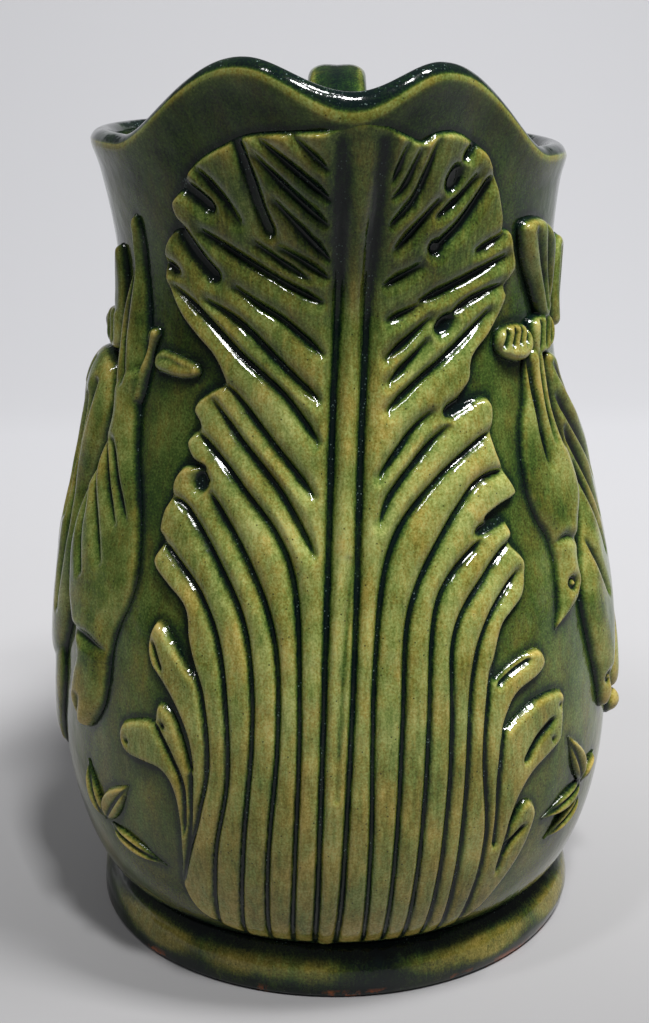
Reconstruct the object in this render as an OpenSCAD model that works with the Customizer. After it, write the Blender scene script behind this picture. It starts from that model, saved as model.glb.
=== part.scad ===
// Relief-moulded leaf jug: pear-shaped body, keeled spout, strap handle, acanthus leaf and hanging birds
// Units are millimetres; the jug stands on z = 0 with its spout towards -Y

/* [Body] */
// Height of the lip at the back above the table
rim_h = 200; // [160:1:240]
// Radius of the belly at its widest
belly_r = 71.5; // [62:0.5:84]
// Height of the widest part of the belly
belly_z = 54; // [44:1:66]
// Radius of the waist under the lip
waist_r = 53; // [46:0.5:60]
// Radius of the lip at the back
rim_r = 57.3; // [50:0.1:66]
// Thickness of the fired wall
wall = 5; // [3.5:0.1:6.5]
// Thickness of the floor slab
floor_t = 5; // [3.5:0.1:8]

/* [Foot] */
// Radius of the crease between body and foot
neck_r = 59; // [52:0.5:64]
// Height of the foot ring
foot_h = 12.6; // [8:0.1:18]
// How far the foot ring stands out past the crease
foot_out = 4.1; // [1.5:0.1:6]
// Depth of the hollow under the floor
foot_hollow = 3; // [1.5:0.1:5]

/* [Spout] */
// How far the spout is pulled forward at the lip
spout_push = 10; // [4:0.5:16]
// Rise of the spout shoulders above the lip
spout_rise = 18; // [8:0.5:26]
// Dip of the pouring edge below the spout shoulders
spout_dip = 8; // [3:0.5:12]
// Half angle between the spout shoulders
spout_half = 20; // [14:1:26]

/* [Handle] */
// Width of the handle strap
handle_w = 16.4; // [12:0.1:24]
// Thickness of the handle strap
handle_t = 9; // [6:0.1:12]
// Reach of the handle behind the axis
handle_reach = 108; // [98:1:122]
// Turn of the handle from straight behind the spout
handle_turn = 3.6; // [0:0.1:8]

/* [Relief] */
// Height of the leaf ribs above the body
leaf_h = 2.9; // [1.5:0.1:4.5]
// Height of the midrib above the body
rib_h = 3.4; // [2:0.1:5]
// Depth of the grooves as a share of the rib height
groove_share = 0.62; // [0.3:0.01:0.8]
// Height of the birds above the body
bird_h = 4.6; // [2.5:0.1:6]
// Width of the twisted cord
cord_w = 5.6; // [4:0.1:7]
// Height of the twisted cord above the body
cord_h = 2.6; // [1.6:0.1:3.6]
// Height of the small sprigs above the body
sprig_h = 2; // [1.4:0.1:3]
// Layer of slip between luted pieces
slip = 0.25; // [0.2:0.01:0.4]

/* [Hidden] */
zk = rim_h/200;
neck_z = foot_h + 0.4;
waist_z = 170*zk;
seam_z = 160*zk;
floor_z = foot_hollow + floor_t;
glaze_green = [0.36, 0.40, 0.14];
glaze_dark = [0.12, 0.20, 0.10];
glaze_leaf = [0.47, 0.46, 0.16];
clay = [0.62, 0.42, 0.28];

// Shared shape of the body
function ease(t) = let (u = min(1, max(0, t))) u*u*(3 - 2*u);

function low_r(z) = neck_r + (belly_r - neck_r)*sqrt(max(0, 1 - pow((belly_z - z)/(belly_z - neck_z), 2)));

function mid_r(z) = belly_r - (belly_r - waist_r)*ease((z - belly_z)/(waist_z - belly_z));

function top_r(z) = waist_r + (rim_r - waist_r)*pow((z - waist_z)/(rim_h - waist_z), 1.5);

function body_r(z) = z < belly_z ? low_r(z) : z < waist_z ? mid_r(z) : top_r(z);

function turn(a) = a > 180 ? a - 360 : a;

function keel(a) = pow(0.5*(1 + cos(180*min(1, abs(turn(a))/38))), 1.3);

function push(a, z) = spout_push*keel(a)*ease((z - seam_z)/(rim_h + spout_rise - spout_dip - seam_z));

function lip_side(a) = rim_h + spout_rise*0.5*(1 + cos(180*min(1, (a - spout_half)/42)));

function lip_mid(a) = rim_h + spout_rise - spout_dip*0.5*(1 + cos(180*a/spout_half));

function lip_z(a) = let (b = abs(turn(a))) b < spout_half ? lip_mid(b) : lip_side(b);

function wall_r(a, z) = body_r(z) + push(a, z);

// A point on the body given as [degrees from the spout, height], lifted by h
function surf(p, h) = let (z = p[1]*zk, r = wall_r(p[0], z) + h) [r*sin(p[0]), -r*cos(p[0]), z];

// A smooth curve through a short list of points
function at(p, i) = i < 0 ? 2*p[0] - p[1] : i >= len(p) ? 2*p[len(p) - 1] - p[len(p) - 2] : p[i];

function bend(a, b, c, d, f) =
    0.5*(2*b + (c - a)*f + (2*a - 5*b + 4*c - d)*f*f + (3*b - a - 3*c + d)*f*f*f);

function curve(p, t) =
    let (s = min(t*(len(p) - 1), len(p) - 1.0001), i = floor(s))
    bend(at(p, i - 1), at(p, i), at(p, i + 1), at(p, i + 2), s - i);

// Faces of a tube of m rings with k points each, closed at both ends
function tube_faces(m, k) = concat(
    [for (j = [0 : m - 2], i = [0 : k - 1]) [j*k + i, j*k + (i + 1)%k, (j + 1)*k + i]],
    [for (j = [0 : m - 2], i = [0 : k - 1]) [j*k + (i + 1)%k, (j + 1)*k + (i + 1)%k, (j + 1)*k + i]],
    [for (i = [1 : k - 2]) [0, i + 1, i]],
    [for (i = [1 : k - 2]) [(m - 1)*k, (m - 1)*k + i, (m - 1)*k + i + 1]]);

function flipped(faces) = [for (f = faces) [f[2], f[1], f[0]]];

function halves(q) = [[q[0], q[1], q[2]], [q[0], q[2], q[3]]];

// The two crown points of a flute between its edges a and b
function crown(a, b, h) = [surf(a + 0.27*(b - a), h), surf(a + 0.73*(b - a), h)];

// One ring of the rounded end of a flute
function end_ring(a, b, h, e) =
    concat([surf(a, e)], crown(a, b, h), [surf(b, e), surf(b, slip), surf(a, slip)]);

// A fan of flutes side by side: g holds the groove lines, tips the rounded end of each flute
module fan(g, tips, h, n = 5, root = 0.75) {
    m = len(tips);
    e = h*(1 - groove_share);
    ends = n > 4 ? [38, 80] : [62];
    lines = (m + 1)*(n + 1)*2;
    crowns = m*(n + 1)*2;
    function top(k, j) = (k*(n + 1) + j)*2;
    function low(k, j) = top(k, j) + 1;
    function rib(f, j, c) = lines + (f*(n + 1) + j)*2 + c;
    function row(f, j) = [top(f, j), rib(f, j, 0), rib(f, j, 1), top(f + 1, j), low(f + 1, j), low(f, j)];
    function ring(f, q) = q < 0 ? row(f, n) : [for (i = [0 : 5]) lines + crowns + (f*len(ends) + q)*6 + i];
    function rise(t) = max(e + 0.1, h*(root + (1 - root)*ease(3*t)));
    line_pts = [for (k = [0 : m], j = [0 : n]) let (p = curve(g[k], j/n)) each [surf(p, e), surf(p, slip)]];
    crown_pts = [for (f = [0 : m - 1], j = [0 : n])
        each crown(curve(g[f], j/n), curve(g[f + 1], j/n), rise(j/n))];
    end_pts = [for (f = [0 : m - 1], q = ends)
        let (a = curve(g[f], 1), b = curve(g[f + 1], 1), mid = 0.5*(a + b), go = sin(q)*(tips[f] - mid))
        each end_ring(mid + cos(q)*(a - mid) + go, mid + cos(q)*(b - mid) + go, h*(1 - 0.25*sin(q)), e)];
    skin_faces = [for (f = [0 : m - 1], j = [0 : n - 1]) let (r = row(f, j), s = row(f, j + 1))
        for (i = [0, 1, 2, 4]) each halves([r[i], r[i + 1], s[i + 1], s[i]])];
    side_faces = [for (j = [0 : n - 1]) each concat(
        halves([top(0, j), top(0, j + 1), low(0, j + 1), low(0, j)]),
        halves([top(m, j), low(m, j), low(m, j + 1), top(m, j + 1)]))];
    root_faces = [for (f = [0 : m - 1]) let (r = row(f, 0))
        for (i = [0 : 3]) [r[5], r[i + 1], r[i]]];
    end_faces = [for (f = [0 : m - 1], q = [0 : len(ends) - 1]) let (r = ring(f, q - 1), s = ring(f, q))
        for (i = [0 : 5]) each halves([r[i], r[(i + 1)%6], s[(i + 1)%6], s[i]])];
    tip_faces = [for (f = [0 : m - 1]) let (r = ring(f, len(ends) - 1))
        for (i = [0 : 3]) [r[5], r[i], r[i + 1]]];
    faces = concat(skin_faces, side_faces, root_faces, end_faces, tip_faces);
    across = curve(g[m], 0.5) - curve(g[0], 0.5);
    along = 0.5*(curve(g[m], 1) + curve(g[0], 1) - curve(g[m], 0) - curve(g[0], 0));
    outward = across[0]*along[1] - across[1]*along[0] > 0;
    polyhedron(concat(line_pts, crown_pts, end_pts), outward ? flipped(faces) : faces);
}

// A single flute between two edge lines
module flute(a, b, tip, h, n = 4) {
    fan([a, b], [tip], h, n);
}

// A rounded knob on the body
module knob(p, r, h) {
    wide = 180/PI/body_r(p[1]*zk);
    hull()
        polyhedron(concat(
            [for (i = [0 : 5]) surf(p + r*[wide*cos(60*i), sin(60*i)/zk], slip)],
            [for (i = [0 : 5]) surf(p + 0.8*r*[wide*cos(60*i), sin(60*i)/zk], 0.66*h)],
            [for (i = [0 : 2]) surf(p + 0.35*r*[wide*cos(120*i), sin(120*i)/zk], h)]),
            [[0, 1, 2], [3, 4, 5], [6, 7, 8], [9, 10, 11], [12, 13, 14]]);
}

// Turned wall of the body
module vessel_wall() {
    low = [for (i = [0 : 8]) neck_z + (belly_z - neck_z)*(1 - cos(90*i/8))];
    high = [for (i = [1 : 16]) belly_z + (seam_z - belly_z)*i/16];
    zs = concat(low, high);
    outer = concat([[neck_r - slip, floor_z + 0.05]], [for (z = zs) [body_r(z), z]]);
    inner = concat([[neck_r - slip - wall, floor_z + 0.05]], [for (z = zs) [body_r(z) - wall, z]]);
    color(glaze_green)
        rotate_extrude($fn = 96)
            polygon(concat(outer, [for (i = [len(inner) - 1 : -1 : 0]) inner[i]]));
}

// Floor slab in the rebate of the foot ring
module base_disc() {
    color(clay)
        translate([0, 0, foot_hollow])
            cylinder(r = neck_r - slip, h = floor_t, $fn = 96);
}

// Turned foot ring with a rebate for the floor slab
module foot_ring() {
    out = neck_r + foot_out;
    color(glaze_dark)
        rotate_extrude($fn = 96)
            polygon([[neck_r - 6, 0], [out - 0.9, 0], [out - 0.2, 1], [out, foot_h*0.32],
                     [out, foot_h*0.6], [out - 0.7, foot_h*0.82], [out - 2, foot_h], [neck_r, foot_h],
                     [neck_r, foot_hollow - 0.05], [neck_r - 5, foot_hollow - 0.05], [neck_r - 6, 1.2]]);
}

// Upper wall with the flared lip and the pulled spout
module spout_collar() {
    cols = 48;
    rows = 4;
    foot = seam_z + 0.05;
    function ring(a) = let (top = lip_z(a)) concat(
        [for (j = [0 : rows]) let (z = foot + (top - 3.4 - foot)*j/rows) [wall_r(a, z), z]],
        [[wall_r(a, top) - 0.22*wall, top - 1]],
        [[wall_r(a, top) - 0.6*wall, top]],
        [for (j = [rows : -1 : 0]) let (z = foot + (top - 1.6 - foot)*j/rows) [wall_r(a, z) - wall, z]]);
    k = 2*rows + 4;
    pts = [for (i = [0 : cols - 1]) let (a = 360*i/cols) each
        [for (p = ring(a)) [p[0]*sin(a), -p[0]*cos(a), p[1]]]];
    faces = concat(
        [for (i = [0 : cols - 1], j = [0 : k - 1])
            [i*k + j, i*k + (j + 1)%k, ((i + 1)%cols)*k + j]],
        [for (i = [0 : cols - 1], j = [0 : k - 1])
            [i*k + (j + 1)%k, ((i + 1)%cols)*k + (j + 1)%k, ((i + 1)%cols)*k + j]]);
    color(glaze_green)
        polyhedron(pts, faces);
}

// Pulled strap handle with a channelled back, its ends cut to the body
module handle() {
    gap = handle_reach - waist_r;
    stand = [[0.02, 190], [0.13, 203], [0.35, 209], [0.63, 205], [0.875, 191], [1, 170], [0.91, 146],
             [0.675, 122], [0.405, 102], [0.175, 89], [0.02, 82]];
    path = [for (s = stand) [body_r(s[1]*zk) + s[0]*gap, s[1]*zk]];
    top_seat = path[0][1];
    low_seat = path[len(path) - 1][1];
    sect = [[-0.5, 0], [-0.42, 0.36], [-0.25, 0.42], [0, 0.33], [0.25, 0.42], [0.42, 0.36], [0.5, 0],
            [0.36, -0.4], [0, -0.5], [-0.36, -0.4]];
    n = 20;
    k = len(sect);
    function seat(x, z) = [x, sqrt(pow(body_r(z) + slip, 2) - x*x), z];
    first = [for (s = sect) seat(1.12*handle_w*s[0], top_seat + 1.3*handle_t*s[1])];
    last = [for (s = sect) seat(1.12*handle_w*s[0], low_seat - 1.5*handle_t*s[1])];
    loop = [for (j = [1 : n - 1]) let (p = curve(path, j/n), q = curve(path, j/n + 0.01),
        d = (q - p)/norm(q - p)) each
        [for (s = sect) [handle_w*s[0], p[0] - d[1]*handle_t*s[1], p[1] + d[0]*handle_t*s[1]]]];
    color(glaze_dark)
        rotate([0, 0, -handle_turn])
            polyhedron(concat(first, loop, last), flipped(tube_faces(n + 1, k)));
}

// Groove lines of the leaf as [degrees from the spout, height] points
mid_l = [[-7, 19], [-5.5, 56], [-4.5, 98], [-3.2, 145], [-1.5, 203]];
mid_r_line = [[-2.6, 19], [-0.6, 56], [1.2, 98], [3.4, 145], [6, 203]];
rail_l = [[-11.9, 19.5], [-10.2, 50], [-9.8, 92], [-6.9, 118], [-5.2, 160], [-4.2, 202]];
rail_r = [[3.5, 19.5], [4.3, 50], [5.6, 98], [7, 124], [7.8, 160], [8.4, 202]];
gl_0 = [[-33.6, 27], [-29.2, 46], [-26.7, 64], [-28.2, 79], [-31.6, 89], [-33, 97]];
gl_1 = [[-27.9, 22], [-24.1, 47], [-22.5, 68], [-25.5, 91], [-41.2, 112]];
gl_2 = [[-22.2, 20.5], [-19.5, 48], [-18, 73], [-21, 97], [-39.5, 121.9]];
gl_3 = [[-16.6, 20], [-14.7, 48], [-13.2, 74], [-17, 104], [-31.5, 125.5]];
gl_4 = [[-11.5, 19.5], [-10, 48], [-9.3, 79], [-12.5, 112], [-34.8, 138]];
gl_4b = [[-9.9, 96], [-12.7, 110.6], [-22.2, 124.4], [-35, 137.2]];
gl_5 = [[-6.5, 112], [-14.5, 126], [-24.5, 137], [-31.5, 144.5]];
gl_6 = [[-5.9, 123], [-14.5, 134], [-22, 142], [-29.2, 148.6]];
gl_7 = [[-5.4, 136], [-17, 149], [-30, 159], [-45, 168]];
gl_8 = [[-5.1, 145], [-15, 153.5], [-25, 162], [-39, 168.6]];
gl_9 = [[-4.8, 155], [-14.5, 163], [-22, 167.4], [-33, 171]];
gl_10 = [[-4.5, 166.6], [-15, 171.5], [-25, 177], [-39.5, 181.6]];
gl_11 = [[-4.3, 173], [-14.5, 180], [-22, 183], [-34, 186.5]];
gl_11b = [[-12, 178], [-17, 180.6], [-23, 183], [-34, 185.9]];
gl_12 = [[-14, 182], [-21, 185], [-27, 189], [-32.4, 194.8]];
gl_13 = [[-14.6, 184], [-18, 189.6], [-20.6, 196], [-23, 200.5]];
gl_14 = [[-4.1, 177], [-12, 184.2], [-17, 190.6], [-20.4, 199]];
gl_15 = [[-3.9, 184], [-10, 190], [-15, 195], [-19.4, 200.6]];
gl_16 = [[-3.7, 190.6], [-9, 195.4], [-14, 199.3], [-16.8, 202.6]];
gl_17 = [[-3.5, 196.6], [-7, 200.3], [-10.8, 203.4]];
gl_18 = [[-3.2, 200.2], [-4.4, 202.6], [-5.2, 204]];
gr_0 = [[25.4, 22.5], [26.2, 42], [25.4, 64], [27.5, 81], [31.6, 92.8]];
gr_1 = [[20.2, 21], [21.8, 41], [22.2, 66], [25, 89], [36.4, 104.4]];
gr_2 = [[16.4, 20.5], [18, 42], [18.9, 72], [21, 94], [35.2, 111.6]];
gr_3 = [[12, 20], [13.5, 48], [14.4, 74], [17.5, 101.5], [29, 116]];
gr_4 = [[7.5, 19.5], [8.8, 52], [9.8, 80], [12.8, 103], [36, 127.4]];
gr_5 = [[3, 19.5], [3.8, 52], [4.6, 88], [9, 114.4], [34.6, 136.6]];
gr_5b = [[5.8, 101], [9.4, 114], [20.2, 127.4], [34.8, 135.8]];
gr_6 = [[6.3, 118], [9.6, 125.8], [17.7, 135], [24, 140.4]];
gr_7 = [[6.6, 129], [14.5, 139], [23.4, 143.6]];
gr_8 = [[6.9, 142.4], [15.5, 148.8], [25.9, 156], [37.6, 163.4]];
gr_9 = [[7.2, 154], [14, 158.4], [22, 160.6], [30, 164.6], [40, 167.4]];
gr_10 = [[7.3, 160], [14, 163.6], [22, 164.6], [30, 167], [41, 169]];
gr_11 = [[7.4, 166], [17.3, 167.6], [28, 171], [41, 175]];
gr_12 = [[7.5, 171], [15.5, 174.6], [28, 176.6], [42, 180.4]];
gr_12b = [[7.5, 170.6], [15.5, 174], [28, 176], [42, 179.8]];
gr_13 = [[7.6, 176], [20, 178], [29, 183.4], [34.6, 191.6]];
gr_14 = [[7.6, 177.4], [16, 180.2], [24, 184], [32.4, 191]];
gr_15 = [[7.7, 181.4], [16, 184.6], [24.5, 189.2], [30, 194.4]];
gr_16 = [[7.8, 185], [15, 188.2], [21, 191.6], [27, 197.6]];
gr_17 = [[7.8, 184.4], [14, 188.6], [19.6, 193.4], [25.6, 200.2]];
gr_18 = [[7.9, 190], [13.4, 192.4], [16, 196], [17.6, 201.6]];
gr_19 = [[8, 193.6], [10.8, 195.4], [12.4, 198], [13.4, 201]];
gr_20 = [[8, 197], [8.8, 198.8], [9.8, 201]];

// Fingers of the leaf in fans that share their grooves
module left_fingers() {
    fan([gl_0, gl_1, gl_2, gl_3, gl_4],
        [[-43.4, 106], [-43, 116.4], [-41, 127.4], [-38.4, 134]], leaf_h, 8);
    fan([gl_4b, gl_5, gl_6, gl_7, gl_8, gl_9, gl_10, gl_11],
        [[-37.2, 142], [-33.4, 147.4], [-39, 157.6], [-48, 172], [-43, 181.4], [-38, 176.6], [-42.2, 187]],
        leaf_h);
    fan([gl_11b, gl_12, gl_13],
        [[-36.8, 194.6], [-28.6, 200]], leaf_h, 4);
    fan([gl_14, gl_15, gl_16, gl_17, gl_18],
        [[-21.6, 202.8], [-19, 203.6], [-14.6, 204.4], [-8, 205]], leaf_h, 3);
    flute([[-4.3, 172.6], [-11, 178], [-14, 180]],
        [[-4.1, 177.6], [-10, 183], [-13, 186]], [-17, 184], leaf_h, 3);
}

module right_fingers() {
    fan([gr_5, gr_4, gr_3, gr_2, gr_1, gr_0],
        [[37.2, 132], [40.6, 121], [37.4, 115.6], [40.2, 108], [39, 100.4]], leaf_h, 8);
    fan([gr_12, gr_11, gr_10, gr_9, gr_8, gr_7, gr_6, gr_5b],
        [[45, 178], [46, 172], [36, 167.2], [43, 166], [33, 153], [24.8, 143], [36.6, 142.6]], leaf_h);
    fan([gr_13, gr_12b],
        [[40.4, 187.6]], leaf_h, 4);
    fan([gr_16, gr_15, gr_14],
        [[31, 199], [33.6, 195]], leaf_h, 4);
    fan([gr_20, gr_19, gr_18, gr_17],
        [[11.6, 203.4], [15.8, 203.8], [23, 203.2]], leaf_h, 3);
}

// Curled leaflets on both sides of the leaf's foot
module foot_leaflets() {
    flute([[-33.8, 27], [-33, 35], [-31.6, 43]],
        [[-28.4, 24], [-27, 35], [-27, 43]], [-29.4, 50], leaf_h*0.95, 3);
    flute([[-35, 29], [-33.3, 45], [-35, 56.4], [-44.6, 60.2]],
        [[-32, 31], [-30.4, 50], [-32.8, 61], [-40, 69.8]], [-48, 65.4], leaf_h*0.9, 5);
    flute([[-31, 46], [-31.8, 57.7], [-34.5, 64.2], [-38.4, 71]],
        [[-29.6, 48], [-30.4, 61], [-32.5, 69], [-36.6, 75.4]], [-39.2, 74.8], leaf_h*0.7, 3);
    flute([[-32.4, 31], [-29.9, 52], [-30.6, 65], [-34, 75.3], [-40.3, 84]],
        [[-31.4, 30], [-28.4, 48], [-26.4, 64], [-27.8, 77], [-31.6, 85.6], [-37.4, 93]],
        [-42, 91.6], leaf_h, 6);
    flute([[25, 23], [25.4, 40], [25.2, 56]],
        [[29.6, 25.6], [30.6, 38], [29.8, 50]], [27.6, 60], leaf_h*0.95, 3);
    flute([[29, 27], [30.2, 36], [32.6, 44.6], [35.2, 48.8]],
        [[32.6, 28.4], [36.4, 35.4], [38.2, 42]], [38.6, 48.4], leaf_h*0.85, 4);
    fan([[[28.4, 42], [29.3, 56], [33, 70], [44.4, 73.6]],
         [[30, 41], [32, 52], [36, 61], [44, 67]],
         [[30.6, 38], [31.8, 45], [34.5, 53.5], [44.4, 60.6]]], [[48, 71], [46.8, 63.8]], leaf_h*0.9, 4);
    flute([[25.6, 36], [25.2, 62], [26.8, 76], [31, 82.8], [39.5, 85.6]],
        [[29, 38], [29, 56], [30, 69.5], [34, 77], [40, 79.6]], [43, 82.8], leaf_h, 5);
}

// Rolled ends of the longer fingers
module finger_ends() {
    tips = [[-40.8, 107], [-38.6, 126.4], [-42.2, 179.4], [-40, 187],
            [38, 107.2], [38.2, 121.4], [34.4, 141.4], [40.4, 82.8]];
    for (p = tips)
        knob(p, leaf_h*0.8, leaf_h*1.05);
}

// Acanthus leaf: midrib, side rails and fingers moulded as one sprig
module acanthus_leaf() {
    color(glaze_leaf)
        union() {
            fan([rail_l, mid_l, mid_r_line, rail_r],
                [[-2.8, 204.6], [2.4, 206.4], [7.2, 204.6]], rib_h, 10, 1);
            left_fingers();
            right_fingers();
            foot_leaflets();
            finger_ends();
        }
}

// Front bird on the right: tail up, claws, breast, head and beak down
module bird_right_front() {
    h = bird_h;
    color(glaze_green)
        union() {
            fan([[[51.4, 152.4], [48.4, 142], [44.4, 129], [45.4, 116], [49, 108.4]],
                 [[53.4, 152.4], [51.2, 141], [50.2, 128], [51, 117], [52, 108]],
                 [[55.2, 152.4], [54.4, 141], [56.4, 128], [57, 117], [55, 107.6]],
                 [[57, 152.4], [58.2, 141], [62, 127], [63, 117], [58.4, 107]]],
                [[50.4, 105], [53.4, 104], [56.8, 104.4]], h, 6);
            fan([[[50, 111], [49, 104], [49, 97]],
                 [[54, 111], [53, 104], [52.6, 97]],
                 [[58.2, 110], [57.8, 104], [57, 98]]], [[49.6, 93], [54.6, 92]], h*0.85, 3);
            fan([[[49.2, 98], [48.2, 93]],
                 [[52.8, 97], [51.2, 91.4]]], [[47, 87.6]], h*0.55, 2);
            fan([[[53.6, 151.4], [58, 150.6], [63.4, 151.6]],
                 [[53.6, 158.4], [58, 159.8], [63.4, 159.4]]], [[65.4, 155.4]], h*0.72, 3);
            fan([[[60, 156], [54, 166], [47.6, 177]],
                 [[61.5, 156], [59, 168], [56, 181]],
                 [[63.2, 157], [65.2, 168], [65.2, 177]]], [[50.4, 183], [61.4, 181.6]], h*0.65);
            knob([53.6, 97.2], h*0.43, h*1.05);
            knob([53.6, 97.2], h*0.22, h*1.2);
            for (a = [55.6, 58, 60.4, 62.8])
                knob([a, 155.2], h*0.4, h*0.84);
            for (p = [[51.4, 180], [61.4, 179]])
                knob(p, h*0.43, h*0.7);
        }
}

// Second bird on the right, half behind the first: folded wing, head down, tail up
module bird_right_back() {
    h = bird_h*0.95;
    color(glaze_green)
        union() {
            fan([[[60.6, 150], [61.6, 138], [66.4, 124], [65.8, 110], [60.4, 96], [60.2, 82], [63.4, 68]],
                 [[61.8, 150], [64.8, 138], [71, 124], [71, 108], [66, 94], [64.4, 82], [65.4, 69]],
                 [[63, 150], [68, 139], [76.4, 125], [77, 108], [72, 93], [68.6, 81], [67.2, 69]],
                 [[64.4, 150], [72, 140], [83.6, 127], [87.6, 110], [83, 92], [74, 76], [69.4, 68]]],
                [[64, 64.6], [66.2, 63.6], [68.6, 65]], h, 8);
            fan([[[63.2, 72], [63.8, 68], [64.2, 65]],
                 [[70, 72], [68.8, 68], [67.8, 64.6]]], [[65.8, 60]], h*0.55, 3);
            fan([[[64.6, 145], [68, 157], [68.4, 172]],
                 [[67, 143.6], [72.2, 158], [73.4, 173]],
                 [[69.4, 141.4], [76.6, 157], [78.6, 170]]], [[70.4, 177], [76.4, 176]], h*0.68);
            fan([[[80.6, 92], [79.6, 78], [79, 67]],
                 [[83, 98], [86.6, 83], [85.6, 66]]], [[81.4, 56]], h*0.9);
            knob([66.2, 68.6], h*0.4, h*1.05);
            knob([66.2, 68.6], h*0.2, h*1.2);
            knob([81.4, 53.6], h*0.95, h*1.3);
            for (p = [[70.8, 173.2], [75.7, 171.9], [81.8, 66], [62.4, 148], [72.6, 150]])
                knob(p, h*0.4, h*0.76);
        }
}

// Front bird on the left: tail up, one claw raised, feathered breast, head down
module bird_left_front() {
    h = bird_h*0.95;
    color(glaze_green)
        union() {
            fan([[[-58.6, 147], [-63.6, 131], [-63, 114], [-61, 96], [-61.4, 76]],
                 [[-56.6, 147.6], [-59.4, 131], [-57.6, 113], [-56.4, 97], [-58.6, 76]],
                 [[-54.8, 148], [-55.4, 132], [-52.4, 113], [-51.4, 98], [-55.4, 76]],
                 [[-52.6, 148.2], [-51.2, 133], [-47.2, 113], [-47, 98], [-52, 76]]],
                [[-60, 71], [-57, 70], [-54, 71]], h, 6);
            fan([[[-62, 80], [-62.4, 73], [-61, 67]],
                 [[-57.4, 80], [-57.4, 73], [-57.2, 66]],
                 [[-52.6, 80], [-52.2, 73], [-53.4, 67]]], [[-59, 62.6], [-55.4, 61.6]], h*0.85, 3);
            fan([[[-62, 142], [-63.6, 152], [-60.8, 167], [-60, 178]],
                 [[-59, 142], [-57.6, 153], [-55.8, 167], [-55.8, 179]],
                 [[-57, 144], [-54.6, 154], [-52.4, 167], [-52.4, 177]]],
                [[-58.4, 183.4], [-54, 183.4]], h*0.78);
            fan([[[-57.6, 141], [-55.2, 148], [-53.4, 153]],
                 [[-53.6, 138], [-52, 146], [-51, 152]]], [[-51.4, 157.4]], h*0.92, 3);
            knob([-57.6, 74.6], h*0.45, h*1.05);
            knob([-57.6, 74.6], h*0.23, h*1.2);
            for (p = [[-58, 179.6], [-54, 179.6], [-58.6, 65.4], [-55.4, 65.4], [-52.8, 151.6], [-51.8, 155]])
                knob(p, h*0.4, h*0.8);
        }
}

// Second bird on the left: shoulder, round wing, head down, tail up, and a band at the claws
module bird_left_back() {
    h = bird_h*0.95;
    color(glaze_green)
        union() {
            fan([[[-67.2, 149], [-67, 138], [-69.6, 127], [-71.6, 116]],
                 [[-71.4, 150.4], [-72.4, 140], [-75.6, 129], [-78.4, 117]],
                 [[-77, 150], [-80.2, 141], [-83.6, 131], [-85.6, 123]],
                 [[-82.6, 147.6], [-88.4, 139], [-90.8, 131], [-90.6, 125]]],
                [[-75.2, 112], [-82, 117.6], [-89, 121]], h*1.1);
            fan([[[-68.2, 121], [-64.8, 110], [-62.8, 98], [-63.2, 94]],
                 [[-70.2, 122.4], [-69.4, 110], [-68, 98], [-67.8, 92.6]],
                 [[-73.4, 121], [-75.8, 110], [-75.4, 99], [-73.6, 93.6]],
                 [[-77, 121], [-83.6, 112], [-85.4, 101], [-80.8, 93]],
                 [[-80, 121.6], [-89.4, 113], [-91.4, 101], [-88, 92.4]]],
                [[-65.2, 90.6], [-71, 90], [-77.4, 89.6], [-84.8, 89]], h*1.06, 5);
            fan([[[-63.9, 97.3], [-63.4, 84], [-64, 75], [-65, 67]],
                 [[-69.3, 97.6], [-69.6, 84], [-69, 75], [-68.4, 66]],
                 [[-74.1, 97.1], [-77.4, 85], [-76, 75], [-72.6, 66]],
                 [[-80, 96.8], [-84.6, 85], [-84.8, 73], [-81, 61]],
                 [[-85.6, 97.2], [-90.6, 86], [-91.6, 72], [-89, 58]]],
                [[-66.4, 62], [-70.4, 61.6], [-77, 58.4], [-85.4, 53]], h);
            fan([[[-67.8, 148], [-67.4, 160], [-67, 170]],
                 [[-71, 149], [-71.4, 160], [-71.2, 171]],
                 [[-75, 149], [-75.6, 161], [-75.2, 170]]], [[-69, 175.6], [-73, 175.4]], h*0.72);
            fan([[[-67, 152.6], [-74, 152], [-81, 152.4]],
                 [[-67, 160], [-74, 159.4], [-81, 157.4]]], [[-84.4, 154.8]], h*0.8, 3);
            knob([-68.4, 68.6], h*0.4, h*1.05);
            knob([-68.4, 68.6], h*0.2, h*1.2);
            for (p = [[-69.2, 169.4], [-73, 169.4], [-68.6, 64.8], [-70, 156.2], [-74, 155.8], [-78, 155.2]])
                knob(p, h*0.4, h*0.84);
        }
}

// Knotted cord, from the leaf to the claws of the birds
module cord(p, q, n) {
    for (i = [0 : n])
        knob(p + (q - p)*i/n, 0.5*cord_w, cord_h*(1 + 0.1*(i%2)));
}

module cord_left() {
    color(glaze_leaf)
        cord([-46.4, 153.4], [-37, 151.6], 7);
}

module cord_right() {
    color(glaze_leaf)
        cord([40.4, 156], [49.6, 153.8], 7);
}

// One pointed leaf of a sprig, from its base to its tip
module blade(base, tip, w) {
    wide = 180/PI/body_r(0.5*(base[1] + tip[1])*zk);
    way = [(tip[0] - base[0])/wide, tip[1] - base[1]];
    side = w*[-way[1]*wide, way[0]]/norm(way);
    mid = base + 0.42*(tip - base);
    far = base + 0.76*(tip - base);
    flute([base + 0.25*side, mid + 0.5*side, far + 0.36*side],
        [base - 0.25*side, mid - 0.5*side, far - 0.36*side], tip, sprig_h, 3);
}

// Pointed leaves that spread from a small boss near the foot
module sprig(base, leaves) {
    for (s = leaves)
        blade(base, s[0], s[1]);
    for (i = [0 : 7])
        knob(base + [cos(45*i), cos(45*i + 90)], sprig_h, sprig_h*0.95);
}

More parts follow.
